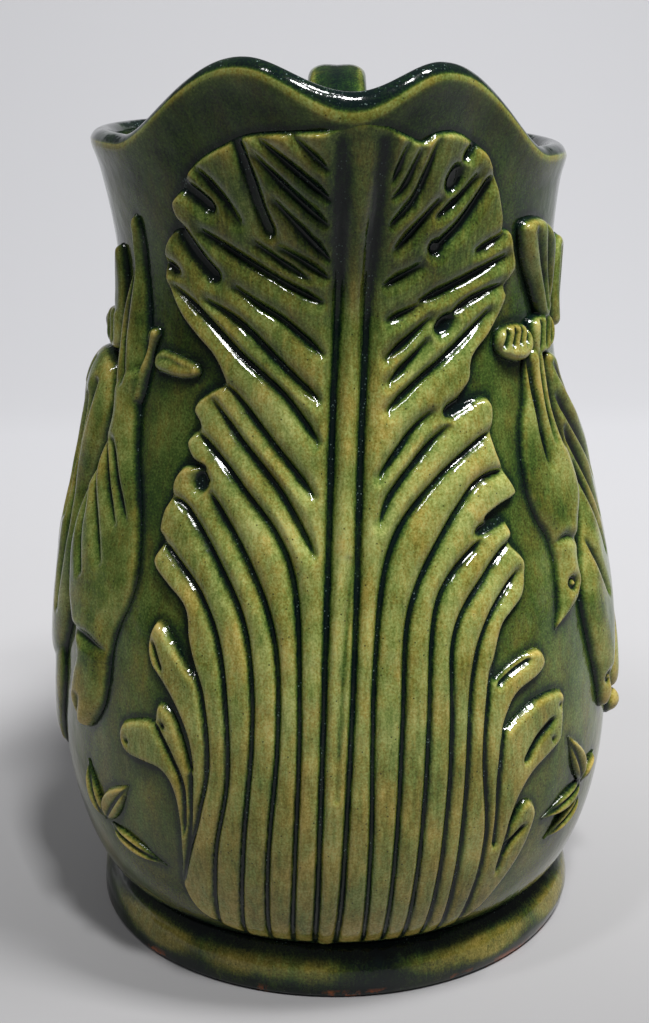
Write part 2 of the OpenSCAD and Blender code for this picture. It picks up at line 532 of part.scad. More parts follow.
module sprig_left() {
    color(glaze_leaf)
        sprig([-55, 37.4], [[[-60.8, 52], 4.6], [[-46, 51.6], 6.4], [[-38, 32.4], 4.6]]);
}

module sprig_right() {
    color(glaze_leaf)
        sprig([55.6, 44.4], [[[49, 60.6], 5.4], [[41.6, 41.4], 4.6], [[44, 34.2], 4.8], [[63, 50.4], 4]]);
}

vessel_wall();
base_disc();
foot_ring();
spout_collar();
handle();
acanthus_leaf();
bird_left_front();
bird_left_back();
bird_right_front();
bird_right_back();
cord_left();
cord_right();
sprig_left();
sprig_right();
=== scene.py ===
import math

import bmesh
import bpy
import numpy as np
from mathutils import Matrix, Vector


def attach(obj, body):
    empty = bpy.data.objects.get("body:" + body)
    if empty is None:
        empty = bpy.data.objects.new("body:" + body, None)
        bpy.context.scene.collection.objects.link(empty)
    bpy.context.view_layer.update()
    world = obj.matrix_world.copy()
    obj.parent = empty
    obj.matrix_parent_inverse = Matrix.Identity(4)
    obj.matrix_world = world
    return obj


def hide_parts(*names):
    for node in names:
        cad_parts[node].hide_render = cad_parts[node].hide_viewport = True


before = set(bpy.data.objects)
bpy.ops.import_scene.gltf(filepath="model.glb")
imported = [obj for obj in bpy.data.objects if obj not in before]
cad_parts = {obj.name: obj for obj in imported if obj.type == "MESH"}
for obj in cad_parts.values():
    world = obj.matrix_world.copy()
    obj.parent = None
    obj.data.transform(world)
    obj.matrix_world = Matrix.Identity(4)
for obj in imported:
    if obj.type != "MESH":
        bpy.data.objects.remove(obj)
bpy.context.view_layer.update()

# Shape of the body in millimetres and degrees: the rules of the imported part, with a hand-made unevenness
RIM_H = 200.0
BELLY_R = 71.5
BELLY_Z = 54.0
BELLY_FULL = 0.64  # power of the curve under the belly; less is fuller
FLARE_BEND = 1.5
WAIST_R = 53.0
WAIST_Z = 170.0
RIM_R = 57.3
WALL = 5.0
NECK_R = 59.0
NECK_Z = 13.0
SEAM_Z = 160.0
FLOOR_Z = 8.0
FOOT_H = 12.6
FOOT_OUT = 4.1
SPOUT_PUSH = 10.0
SPOUT_RISE = 18.0
SPOUT_DIP = 6.2
SPOUT_LEFT = 19.8  # degrees from the middle of the spout to its left crest
SPOUT_RIGHT = 17.4
SPOUT_FALL = 42.0  # degrees from a crest to the level rim
KEEL_HALF = 38.0  # degrees over which the wall is pulled forward, to each side
KEEL_SHARP = 1.3
LIP_TILT = 1.7  # the lip is lower on the right
LIP_BOW = 0.7
HANDLE_W = 16.4
HANDLE_T = 9.0
HANDLE_REACH = 108.0
HANDLE_TURN = 3.6
LEAN = 1.1
MM = 0.001


def ease(t):
    """Smooth step from 0 to 1."""
    u = np.clip(t, 0, 1)
    return u*u*(3 - 2*u)


def body_r(z):
    """Radius of the round body at height z."""
    z = np.asarray(z, float)
    share = np.clip((BELLY_Z - z)/(BELLY_Z - NECK_Z), 0, 1)
    low = NECK_R + (BELLY_R - NECK_R)*(1 - share**2)**BELLY_FULL
    mid = BELLY_R - (BELLY_R - WAIST_R)*ease((z - BELLY_Z)/(WAIST_Z - BELLY_Z))
    flare = np.clip((z - WAIST_Z)/(RIM_H - WAIST_Z), 0, None)
    top = WAIST_R + (RIM_R - WAIST_R)*flare**FLARE_BEND
    return np.where(z < BELLY_Z, low, np.where(z < WAIST_Z, mid, top))


def wall_r(a, z):
    """Radius of the outside at a degrees from the spout, with the pulled keel and a slight lean."""
    keel = (0.5*(1 + np.cos(np.pi*np.clip(np.abs(a)/KEEL_HALF, 0, 1))))**KEEL_SHARP
    lift = ease((z - SEAM_Z)/(RIM_H + SPOUT_RISE - SPOUT_DIP - SEAM_Z))
    lean = LEAN*np.sin(np.radians(a))*ease((z - WAIST_Z)/(RIM_H - WAIST_Z))
    return body_r(z) + SPOUT_PUSH*keel*lift - lean


def lip_z(a):
    """Height of the wavy lip at a degrees from the spout."""
    b = np.abs(a)
    half = np.where(a < 0, SPOUT_LEFT, SPOUT_RIGHT)
    side = RIM_H + SPOUT_RISE*0.5*(1 + np.cos(np.pi*np.clip((b - half)/SPOUT_FALL, 0, 1)))
    mid = RIM_H + SPOUT_RISE - SPOUT_DIP*0.5*(1 + np.cos(np.pi*np.clip(b/half, 0, 1)))
    across = np.sin(np.radians(a))
    return np.where(b < half, mid, side) - LIP_TILT*across - LIP_BOW*across**2


def place(a, z, r):
    """Points in metres from degrees, height and radius in millimetres."""
    t = np.radians(a)
    return np.stack([r*np.sin(t), -r*np.cos(t), z + 0*r], axis=-1)*MM


# The chart: the outside of the body unrolled on a grid of degrees and heights
A_COUNT = 1286
A_STEP = 360/A_COUNT
A = (np.arange(A_COUNT) + 0.5)*A_STEP - 180
Z_STEP = 0.32
Z = np.arange(12, 208, Z_STEP)
MM_PER_DEG = np.radians(1)*body_r(Z)
MEAN_MM_PER_DEG = 1.1
FAR = 9.0  # a distance that counts as far off


def blank(value=0.0):
    """A chart filled with one value."""
    return np.full((len(Z), len(A)), value, np.float32)


def spline(points, closed=False, gap=1.0):
    """A dense smooth line through a few points given as (degrees, height)."""
    p = np.asarray(points, float)
    n = len(p)
    out = []
    for i in range(n if closed else n - 1):
        q = p[[(i + k) % n if closed else min(max(i + k, 0), n - 1) for k in (-1, 0, 1, 2)]]
        size = math.hypot((q[2][0] - q[1][0])*MEAN_MM_PER_DEG, q[2][1] - q[1][1])
        count = max(1, math.ceil(size/gap))
        t = np.arange(count)[:, None]/count
        out.append(0.5*(2*q[1] + (q[2] - q[0])*t + (2*q[0] - 5*q[1] + 4*q[2] - q[3])*t**2
                        + (3*q[1] - q[0] - 3*q[2] + q[3])*t**3))
    if not closed:
        out.append(p[-1:])
    return np.vstack(out)


def near(line, reach):
    """For each stretch of a line: the chart cells around it, their distance and their place along it."""
    run = 0.0
    for (a0, z0), (a1, z1) in zip(line[:-1], line[1:]):
        k = float(np.radians(1)*body_r(0.5*(z0 + z1)))
        dx, dz = (a1 - a0)*k, z1 - z0
        size = max(1e-6, math.hypot(dx, dz))
        i0 = max(0, int((min(z0, z1) - reach - Z[0])/Z_STEP))
        i1 = max(0, int((max(z0, z1) + reach - Z[0])/Z_STEP) + 2)
        j0 = max(0, int((min(a0, a1) - reach/k - A[0])/A_STEP))
        j1 = int((max(a0, a1) + reach/k - A[0])/A_STEP) + 2
        rows, cols = slice(i0, i1), slice(j0, j1)
        x = (A[cols] - a0)[None, :]*k
        z = (Z[rows] - z0)[:, None]
        u = np.clip((x*dx + z*dz)/size**2, 0, 1)
        yield rows, cols, np.hypot(x - u*dx, z - u*dz), run + u*size
        run += size


def signed_distance(outline, reach):
    """Distance to a closed outline in millimetres, positive inside."""
    ring = np.vstack([outline, outline[:1]])
    d = blank(reach)
    for rows, cols, dist, _ in near(ring, reach):
        d[rows, cols] = np.minimum(d[rows, cols], dist)
    flips = np.zeros((len(Z), len(A) + 1), int)
    for (a0, z0), (a1, z1) in zip(ring[:-1], ring[1:]):
        rows = np.nonzero((Z >= min(z0, z1)) & (Z < max(z0, z1)))[0]
        cross = a0 + (Z[rows] - z0)/(z1 - z0)*(a1 - a0) if len(rows) else Z[rows]
        cols = np.clip(np.ceil((cross - A[0])/A_STEP).astype(int), 0, len(A))
        np.add.at(flips, (rows, cols), 1)
    inside = np.cumsum(flips, axis=1)[:, :-1] % 2 == 1
    return np.where(inside, d, -d)


def blur(field, size):
    """Gaussian blur of the chart, size in millimetres."""
    fz = np.fft.fftfreq(len(Z), Z_STEP)[:, None]
    fa = np.fft.rfftfreq(len(A), A_STEP*MEAN_MM_PER_DEG)[None, :]
    soft = np.exp(-2*(np.pi*size)**2*(fz**2 + fa**2))
    return np.fft.irfft2(np.fft.rfft2(field)*soft, field.shape).astype(np.float32)


def grain(size, seed):
    """Smooth random field on the chart, about -1 to 1, with patches of a size in millimetres."""
    field = blur(np.random.default_rng(seed).standard_normal((len(Z), len(A))), size)
    return field/(2*field.std())


# Edges of lobes and grooves in millimetres, tapers and slopes as shares
LOBE_FOOT = 0.9
LOBE_SPREAD = 0.1  # how far a lobe's foot passes its outline
WEDGE_LOW = 0.45
GROOVE_REACH = 3.6
GROOVE_TIP = 0.3
TIP_LEAST = 0.04
TAPER = 0.6
GROOVE_FLAT = 0.2  # in half widths
GROOVE_SLOPE = 1.1
WAVER_SIZE = 2.6
SOFTEN = 0.28
FILM = 0.05


class Relief:
    """A moulded piece on the body: lobes with rounded edges, cut by grooves."""

    def __init__(self):
        self.inside = blank(-FAR)
        self.rise = blank()
        self.carve = blank()
        self.gap = blank(FAR)

    def lobe(self, outline, height, edge, wedge=None):
        """A lobe that rises to its height over the edge width; a wedge (a0, a1) is lower at a0."""
        d = signed_distance(spline(outline, closed=True), edge + 1)
        self.inside = np.maximum(self.inside, d)
        round_edge = np.sqrt(1 - (1 - np.clip(d/edge, 0, 1))**2)*ease((d + LOBE_SPREAD)/LOBE_FOOT)
        if wedge:
            share = ease((A - wedge[0])/(wedge[1] - wedge[0]))
            round_edge = round_edge*(WEDGE_LOW + (1 - WEDGE_LOW)*share)[None, :]
        self.rise = np.maximum(self.rise, height*round_edge)

    def groove(self, line, width, depth, start=3.0, end=3.0):
        """A gouged line that tapers over its start and end lengths."""
        pts = spline(line)
        k = np.radians(1)*body_r(0.5*(pts[1:, 1] + pts[:-1, 1]))
        total = np.hypot(np.diff(pts[:, 0])*k, np.diff(pts[:, 1])).sum()
        for rows, cols, d, s in near(pts, GROOVE_REACH):
            grown = np.minimum((s + GROOVE_TIP)/start, (total - s + GROOVE_TIP)/end)
            full = np.clip(grown, TIP_LEAST, 1)**TAPER
            half = 0.5*width*full
            cut = depth*full*(1 - ease((d/half - GROOVE_FLAT)/GROOVE_SLOPE))
            self.carve[rows, cols] = np.maximum(self.carve[rows, cols], cut)
            self.gap[rows, cols] = np.minimum(self.gap[rows, cols], d - half)

    def finish(self, crown=0.25, crown_w=2.2, least=0.3, waver=0.12, seed=1):
        """Rounds the ribs between grooves and settles the height."""
        ribs = 1 - crown*(1 - np.clip(self.gap/crown_w, 0, 1))**2
        h = self.rise*ribs - self.carve + waver*grain(WAVER_SIZE, seed)*np.clip(self.inside, 0, 1)
        h = np.where(self.inside > 0, np.maximum(h, np.minimum(least, self.rise)), 0)
        self.height = np.where(self.inside > 0, np.maximum(blur(h, SOFTEN), FILM), 0).astype(np.float32)
        return self


# The acanthus leaf: outline and gouged lines as (degrees from the spout, height)
LEAF_EDGE_LEFT = [
    (-4, 204.6), (-11, 204), (-17.7, 203.4), (-22.3, 202.3), (-25.5, 200.8), (-30, 198.8), (-34.5, 196),
    (-37, 193.4), (-38.4, 190.8), (-41.8, 187.7), (-41.2, 184), (-39.6, 181.8), (-42.6, 181.4),
    (-46, 177.7), (-47.3, 173), (-46.4, 168.5), (-41.8, 162.3), (-36.4, 157.7), (-31.8, 153.8),
    (-29.2, 148.8), (-32.7, 146.4), (-35.9, 144), (-36.6, 141.5), (-34.6, 138.6), (-37.7, 135),
    (-35.6, 131), (-32.4, 129.6), (-37.3, 129.6), (-40, 126.5), (-40.5, 122.3), (-42, 118.5),
    (-42.3, 114), (-41, 112), (-42.8, 108), (-42, 105.4), (-38.2, 102.3), (-33.6, 98.2), (-32.3, 91.5),
    (-30.3, 84), (-34.5, 89), (-38.2, 93.5), (-40.4, 93.6), (-41.8, 88.8), (-40.5, 83.8), (-37.3, 80),
    (-33.6, 74.6), (-31, 68.5), (-30, 61.6), (-31.8, 67.7), (-34, 73), (-36.8, 75.6), (-38.4, 74.4),
    (-38.8, 70.8), (-41, 70.6), (-46.4, 68.2), (-47.9, 65.2), (-47.3, 62), (-45.2, 60), (-41, 59.6),
    (-37.3, 59.2), (-35, 57), (-33.6, 52.3), (-33.2, 44.6), (-33.6, 37), (-34.4, 29), (-31.5, 20.6),
    (-22.3, 15.6), (-14.5, 15)]
LEAF_EDGE_RIGHT = [
    (0, 14.6), (12, 14.8), (20.5, 15.6), (27, 19.4), (31.6, 26), (35.9, 34.6), (38.2, 41.5), (38.8, 46),
    (36.8, 49.4), (34.4, 48.5), (32, 44.4), (33, 49.2), (35.2, 53.8), (38.2, 57), (45, 60.8), (46, 63.8),
    (46.6, 68.5), (46.8, 73), (42.7, 74.4), (38, 73.8), (33.6, 71.6), (30.2, 69.4), (31.4, 73.4),
    (34, 77), (39.5, 79.2), (42, 81.6), (41.4, 84.8), (38.6, 86), (32.3, 83.7), (28.6, 81.8),
    (29.2, 86.4), (31.4, 93), (34, 95.6), (37.4, 98.5), (38.8, 102.3), (39.4, 107), (36.6, 110.8),
    (37, 113), (35.8, 116.4), (30.6, 117.6), (34, 119.6), (39.9, 121.7), (37.9, 127), (35.7, 132.3),
    (35.2, 136), (36, 140.8), (35.6, 143.2), (33.4, 144.6), (26.5, 143.6), (30, 148.6), (30.6, 152.3),
    (32, 154.6), (36, 157.7), (40, 162.3), (42.4, 166), (42, 168.3), (45.5, 172), (44.2, 177),
    (42.6, 180.8), (39.7, 181.8), (39.3, 184.2), (37.8, 188.5), (35.6, 193), (33.6, 196), (31.8, 198.4),
    (29.2, 200), (26.4, 201.4), (23.2, 202.9), (20, 203.6), (16.4, 203.2), (13.6, 201.8), (9.4, 203.6),
    (2.6, 206.4)]
MIDRIB_LEFT = [(-1.4, 203), (-2, 171.5), (-3.4, 141), (-4.5, 98), (-5.2, 64), (-6.1, 33), (-7.2, 14.8)]
MIDRIB_RIGHT = [(6, 203), (5.5, 187), (4.3, 160), (2.7, 133), (1.2, 100), (-0.6, 56), (-1.6, 30),
                (-2.8, 14.8)]
GROOVES_LOW = [
    [(-34, 30), (-31.8, 37.7), (-28.6, 50), (-26.6, 63.8), (-28.2, 79), (-31, 86.6)],
    [(-28, 17.6), (-25.5, 41), (-22.6, 62), (-24.5, 87), (-30, 101.5), (-41, 112)],
    [(-22.6, 15.4), (-20, 42), (-18, 73), (-20, 94.6), (-26.4, 108.5), (-34.5, 119), (-39.4, 121.8)],
    [(-16.9, 15), (-15.2, 42), (-13.2, 72), (-14.5, 94.6), (-20.9, 111), (-30, 124)],
    [(-11.9, 14.8), (-10.2, 42), (-9.3, 79), (-11.8, 110), (-23.6, 127), (-34.6, 137)],
    [(3.1, 14.8), (3.6, 42), (4.5, 87), (8.6, 114), (20, 128), (34, 136.4)],
    [(7.4, 14.8), (9.5, 75), (12.7, 103), (26.8, 124), (37, 127.4)],
    [(11.8, 15), (14.3, 71.5), (17.5, 101), (28.4, 113)],
    [(16.2, 15.2), (18.9, 71.5), (20.7, 94), (29.5, 106), (36, 111.6)],
    [(20, 16), (22, 64), (24, 84.6), (28.6, 96), (36.6, 104.4)],
    [(24.4, 18), (26.4, 42), (25.5, 64), (27.3, 81), (29.2, 86.4)],
    [(28.4, 40), (28.6, 56), (29.5, 66), (30.6, 71)],
    [(-30, 61), (-30.2, 50), (-31.6, 40), (-33, 33)],
    [(-38.4, 70.4), (-34.5, 63.8), (-31.6, 56), (-32, 44)],
    [(32, 44.6), (31, 39), (30, 32)]]
GROOVES_HIGH = [
    [(-7, 113), (-14.5, 126), (-24.5, 137), (-31.5, 144.5)],
    [(-7.3, 125.4), (-14.5, 134), (-25, 145.4), (-29, 148.4)],
    [(-6.4, 137), (-14.5, 147), (-24.5, 154.6), (-35, 163), (-44, 168.6)],
    [(-6.4, 146), (-14.5, 153), (-24.5, 161.5), (-34, 166.4)],
    [(-5.6, 156), (-14.5, 163), (-20, 166), (-26, 169.6)],
    [(-6, 167.4), (-14.5, 171.5), (-25, 177), (-34, 181.6)],
    [(-9, 172.6), (-14.5, 176), (-20, 179.6)],
    [(-4.4, 172.8), (-10, 176.5), (-14.5, 179)],
    [(-3.9, 176.8), (-10, 183.5), (-15, 189.4)],
    [(-4.4, 184.6), (-10, 190), (-18.4, 198.7)],
    [(-3.6, 189.8), (-10, 196), (-17.3, 202.3)],
    [(-4, 196.2), (-10.4, 203.4)],
    [(-33, 194.8), (-27.3, 189.2), (-24, 184.6)],
    [(9, 143.6), (15.5, 149), (25.9, 156), (36, 163)],
    [(6.6, 129.4), (14.5, 139), (19, 142.4)],
    [(6.4, 119.6), (9.5, 126), (17.7, 135), (23, 139)],
    [(9, 155), (14, 158.8), (19.5, 163)],
    [(9.4, 149.6), (18.6, 158)],
    [(9.6, 163.2), (16.8, 166.2)],
    [(8.6, 171.2), (16, 174.8)],
    [(17, 167), (26.8, 170.4), (41, 175)],
    [(32, 177), (40, 180)],
    [(10.6, 179.2), (19.4, 189)],
    [(19.6, 185.6), (24.5, 189), (29, 193.4)],
    [(8.6, 184.4), (13.2, 190), (17.4, 202)],
    [(8.4, 190.4), (10.6, 192.6), (13.4, 200)],
    [(8, 193.4), (10.6, 201.4)],
    [(25, 163.4), (31, 166.4), (40, 168.8)]]
# Each slot is a line, its width and its depth
LEAF_SLOTS = [
    ([(-22.6, 202.6), (-20.5, 196), (-18.4, 187.7), (-16.4, 182)], 2.4, 2.3),
    ([(-38.4, 192), (-34, 189.4), (-30.4, 186.8)], 3.0, 2.5),
    ([(-40.4, 181.4), (-36, 176), (-31, 171.5)], 3.0, 2.5),
    ([(-46, 173.6), (-42.6, 172)], 2.0, 1.6),
    ([(-33, 127.6), (-32.6, 125.6)], 4.6, 2.5),
    ([(-40.4, 89), (-37.6, 83)], 1.1, 1.4),
    ([(-37, 71), (-36.2, 69.6)], 1.3, 1.4),
    ([(-45.8, 63.8), (-45.2, 63.2)], 1.6, 1.4),
    ([(21.9, 191.6), (23.5, 195.4)], 3.8, 2.4),
    ([(27.6, 200.6), (25, 197.4)], 2.0, 2.0),
    ([(33.6, 192.6), (26.8, 184.2), (22, 180.2), (20, 178.6)], 2.0, 1.9),
    ([(20.6, 179.4), (19.4, 178)], 3.4, 2.4),
    ([(21.8, 160.4), (25, 162.8)], 3.6, 2.4),
    ([(28, 115), (36.4, 117)], 2.4, 2.2),
    ([(23, 142), (30.5, 144.9)], 3.2, 2.5),
    ([(29, 80), (33, 82.4), (37.5, 84)], 1.3, 1.4),
    ([(35, 60), (38.2, 64.6), (43, 67.5)], 2.0, 1.8),
    ([(45.2, 70.6), (45.4, 69.8)], 1.4, 1.4),
    ([(42.6, 63), (42.9, 62.4)], 1.7, 1.4),
    ([(35.6, 43), (32.3, 40), (30.5, 36)], 1.5, 1.5)]


def leaf_relief():
    """The leaf: a broad blade and its midrib, gouged, and low under the lip and above the foot."""
    leaf = Relief()
    leaf.lobe(LEAF_EDGE_LEFT + LEAF_EDGE_RIGHT, height=2.4, edge=1.9)
    leaf.lobe(MIDRIB_LEFT + MIDRIB_RIGHT[::-1], height=2.7, edge=2.2)
    for line in (MIDRIB_LEFT, MIDRIB_RIGHT):
        leaf.groove(line, width=1.4, depth=1.4, start=2, end=1)
    for line in (MIDRIB_LEFT[:3], MIDRIB_RIGHT[:4]):
        leaf.groove(line, width=3.0, depth=0.5, start=1, end=50)
    leaf.groove([(0.6, 112), (-1.4, 86), (-2.6, 58)], width=0.9, depth=0.4, start=14, end=14)
    for line in GROOVES_LOW:
        leaf.groove(line, width=1.2, depth=1.25, start=1.5, end=3)
    for line in GROOVES_HIGH:
        leaf.groove(line, width=1.35, depth=1.15, start=4, end=8)
    for line, width, depth in LEAF_SLOTS:
        leaf.groove(line, 0.9*width, 0.85*depth, start=1.2, end=1.2)
    near_lip = ease((Z[:, None] - 186)/17)*np.exp(-((A[None, :] - 2)/6)**4)
    from_foot = 0.3 + 0.45*ease((Z - 14)/7) + 0.25*ease((Z - 70)/40)
    leaf.rise *= (1 - 0.7*near_lip)*from_foot[:, None]
    rounder = ease((Z - 78)/36)[:, None]
    return leaf.finish(crown=0.22 + 0.34*rounder, crown_w=1.3 + 1.7*rounder, seed=11)


# Birds, cords and sprigs: lobes with their height and edge, grooves with their width, depth and tapers
def ring_line(a, z, radius):
    """A small circle on the chart."""
    k = float(np.radians(1)*body_r(z))
    return [(a + radius*math.cos(t)/k, z + radius*math.sin(t)) for t in np.linspace(0, 2*math.pi, 9)]


def eye(relief, a, z):
    """A ring-shaped eye."""
    relief.groove(ring_line(a, z, 1.2), width=0.9, depth=1.0, start=0.1, end=0.1)


def bird_right_front():
    """The near bird on the right: body, raised tail and foot."""
    bird = Relief()
    bird.lobe([(52, 152.6), (49.4, 149), (48.2, 142), (45.5, 136), (44.2, 129), (44.3, 121), (46, 114.5),
               (48.8, 109.5), (50, 104), (49.6, 98), (48.6, 92.6), (47, 87.6), (49.6, 89), (52.4, 90.4),
               (55.4, 92.6), (57.8, 96.6), (57.6, 101), (58, 104.6), (60, 110), (63, 115), (63.8, 119.6),
               (62.4, 126), (60, 133), (58.4, 140), (57.8, 148), (56, 152.6)], 4.9, 5, wedge=(46, 61))
    bird.lobe([(47, 181), (50, 182.8), (56, 182.6), (61.4, 180.4), (65.4, 177), (66.4, 171), (65.6, 165),
               (63.4, 159.6), (60, 157.4), (57.4, 160), (54, 166), (50.4, 171.6), (48, 176)], 3.2, 3)
    bird.lobe([(53, 158.6), (58, 160), (64, 159.6), (66, 156), (64, 151.4), (58, 150.4),
               (53, 151.6)], 3.4, 2.5)
    bird.groove([(51.2, 151), (51.2, 140), (52.2, 126)], 1.6, 1.4, 3, 8)
    bird.groove([(54.4, 151), (54.4, 141), (55.6, 131)], 1.3, 1.1, 3, 8)
    bird.groove([(56.8, 150), (57, 140), (59, 130)], 1.3, 1.0, 3, 8)
    bird.groove([(50.6, 107.4), (53.4, 108.6), (57, 107)], 1.2, 0.6, 4, 4)
    bird.groove([(52.4, 180), (57.4, 170), (60.6, 161)], 1.2, 0.7, 8, 8)
    bird.groove([(58, 180.4), (61, 171), (62.4, 163)], 1.2, 0.7, 8, 8)
    for a in (56, 59.2, 62.4):
        bird.groove([(a - 0.6, 152.4), (a + 0.8, 158.4)], 1.4, 1.3, 1, 1)
    eye(bird, 53.6, 97.2)
    return bird.finish(seed=21)


def bird_right_back():
    """The second bird on the right, with a knob under its wing."""
    bird = Relief()
    bird.lobe([(60, 150), (60.4, 142), (62.4, 134), (65, 126.6), (66.6, 119), (65.2, 110), (62.4, 103),
               (59.6, 97), (58.8, 90), (59.6, 82), (61.4, 74), (63.2, 67.5), (64.6, 61.6), (66.6, 59.8),
               (68.4, 62.6), (70.2, 68), (73.5, 74), (78, 81), (83, 90), (87, 101), (88.5, 112),
               (86.5, 122), (81.5, 131), (75, 138), (69.5, 144), (65, 150)], 4.4, 8)
    bird.lobe([(68, 157), (67.6, 166), (69, 173.6), (73, 177), (77.5, 175.6), (79, 170), (77.5, 163),
               (74, 156.6), (71, 154.4)], 3.0, 3)
    bird.lobe([(84.6, 96), (87, 84), (86.4, 68), (82, 57), (78.8, 62), (79.8, 76), (81.4, 87)], 4, 4)
    bird.lobe(ring_line(81.4, 54, 3.8)[:-1], 4.2, 3.8)
    for line in ([(62.5, 147.6), (68, 140.6), (75, 133.6), (81, 126.6)],
                 [(62.5, 140), (67.5, 132.6), (73.5, 125), (79.5, 117)],
                 [(65, 131.6), (68.6, 124.6), (73, 116), (77.5, 107)],
                 [(67.5, 122.4), (69.8, 115), (73, 106), (75.5, 98)],
                 [(64.6, 104), (67, 97), (70.6, 89)],
                 [(73.6, 173), (73.4, 165), (72.6, 158)]):
        bird.groove(line, 1.5, 1.2, 4, 8)
    eye(bird, 66.2, 68.4)
    return bird.finish(seed=22)


def bird_left_front():
    """The near bird on the left: body, tail and claw."""
    bird = Relief()
    bird.lobe([(-54.4, 147.6), (-55.8, 140.6), (-54.2, 129.6), (-51.4, 121.6), (-49.2, 114),
               (-47.6, 103.4), (-48.7, 95.6), (-51.2, 88.8), (-52.5, 81.6), (-52.7, 73), (-54.4, 66.8),
               (-58.6, 61.2), (-61.4, 62.4), (-64, 68), (-63.6, 75), (-63.2, 79.6), (-66.6, 85.6),
               (-71, 94), (-74, 102), (-74.4, 109), (-72, 116.6), (-67.4, 126), (-64.8, 136), (-65, 144),
               (-60, 149)], 5, 5, wedge=(-49, -66))
    bird.lobe([(-65.6, 160), (-66.4, 152), (-66, 142), (-62, 138), (-57.4, 143), (-55, 150),
               (-54.4, 158), (-55.4, 166), (-56, 174), (-56, 180.6), (-58, 183.6), (-60.2, 178),
               (-61.8, 170)], 3.4, 3.2, wedge=(-54, -62))
    bird.lobe([(-59.6, 141), (-57, 147), (-55, 153), (-54.4, 157.6), (-51, 158.6), (-50, 157),
               (-51.8, 153), (-53.6, 147), (-55.6, 140.4)], 2.2, 2.2)
    for line in ([(-66.6, 129.6), (-65.6, 121), (-62, 112), (-58.4, 103)],
                 [(-63.8, 130.6), (-60, 121), (-56, 112.6)],
                 [(-61, 131), (-57, 121.6), (-52.8, 114.2)],
                 [(-68.4, 117), (-68, 108), (-64.4, 99)]):
        bird.groove(line, 1.2, 1.1, 4, 5)
    bird.groove([(-59, 179), (-60.4, 168), (-62.6, 155), (-61, 145)], 1.3, 0.8, 8, 8)
    bird.groove([(-53, 157.6), (-53.6, 154.6), (-55, 151)], 0.8, 0.9, 1, 2)
    bird.groove([(-64, 85), (-59.4, 84.4), (-54, 82.6)], 1.6, 0.4, 5, 5)
    bird.groove([(-60.6, 64.6), (-60.2, 69)], 0.8, 0.5, 2, 2)
    return bird.finish(seed=31)


def bird_left_back():
    """The second bird on the left, half behind the first."""
    bird = Relief()
    bird.lobe([(-69, 138), (-72, 146), (-79, 149.6), (-86, 149.4), (-92, 145), (-96.4, 136), (-98.4, 122),
               (-98.4, 106), (-96.4, 90), (-93.4, 77), (-89.4, 67.4), (-83, 66.6), (-78, 72), (-73, 86),
               (-72, 104), (-72, 116), (-69.6, 128)], 6, 9)
    bird.lobe([(-79, 78), (-90, 78), (-91.4, 67), (-90.4, 57), (-87.6, 49), (-85, 42.6), (-82.4, 48.4),
               (-79, 55), (-76.6, 63), (-77, 71)], 3.9, 6)
    bird.rise *= (0.6 + 0.4*ease((Z - 66)/46))[:, None]
    bird.lobe([(-68.4, 157), (-67.8, 168), (-69.2, 174.6), (-72.2, 175), (-74.6, 170), (-75.4, 162),
               (-74, 156)], 2.2, 2.4)
    bird.lobe([(-69, 160), (-76, 160.6), (-83, 159), (-87.4, 156.4), (-84, 152.6), (-77, 150),
               (-70, 151)], 2.8, 3)
    for line in ([(-75, 142), (-78.4, 124), (-77.6, 104), (-79, 84)],
                 [(-82, 146), (-85.6, 126), (-85, 104), (-84, 80)],
                 [(-89, 144), (-92.4, 124), (-91.6, 102), (-88, 80)],
                 [(-79, 138), (-81.6, 122), (-81, 108)],
                 [(-86, 138), (-89, 122), (-88, 106)]):
        bird.groove(line, 1.3, 1.0, 5, 9)
    for a in (-73, -77, -81):
        bird.groove([(a, 152.6), (a - 0.8, 159)], 1.3, 1.0, 1, 1)
    eye(bird, -83.6, 64)
    return bird.finish(seed=32)


def cord_left():
    cord = Relief()
    cord.lobe([(-51.4, 152), (-48.6, 154), (-44.7, 153.6), (-41, 153), (-37.4, 152.2), (-35.8, 150.4),
               (-37, 148.8), (-41.8, 148), (-46, 148.2), (-50.6, 149)], 1.8, 2.8)
    cord.groove([(-50, 151.4), (-46, 152), (-42, 151), (-39, 150.8)], 0.9, 0.3, 3, 3)
    return cord.finish(seed=41)


def cord_right():
    cord = Relief()
    cord.lobe([(38.6, 156), (40, 158.6), (44, 159.5), (48.6, 159.2), (51.6, 158), (52.8, 155.4),
               (52, 152.4), (49, 150.6), (46, 150.4), (42, 151.6), (39.2, 153.6)], 3.2, 2.6)
    for a in (41.4, 44.2, 47, 49.8):
        cord.groove([(a - 0.8, 154.4), (a + 1.2, 158.3)], 1.3, 1.6, 1, 1)
    return cord.finish(seed=42)


def blade(base, tip, width, lean=0.0):
    """Outline of a pointed leaf from its base to its tip, width in millimetres."""
    (a0, z0), (a1, z1) = base, tip
    k = float(np.radians(1)*body_r(0.5*(z0 + z1)))
    dx, dz = (a1 - a0)*k, z1 - z0
    size = math.hypot(dx, dz)
    side = np.array([-dz/size/k, dx/size])
    half = [(t, width*0.5*math.sin(math.pi*t**0.8)) for t in (0.12, 0.3, 0.5, 0.7, 0.88)]
    bow = [(t, w, lean*math.sin(math.pi*t)) for t, w in half]
    mid = [np.array([a0 + (a1 - a0)*t, z0 + dz*t]) for t, _ in half]
    up = [m + side*(w + c) for m, (_, w, c) in zip(mid, bow)]
    down = [m - side*(w - c) for m, (_, w, c) in zip(mid, bow)]
    return [base] + [tuple(p) for p in up] + [tip] + [tuple(p) for p in down[::-1]]


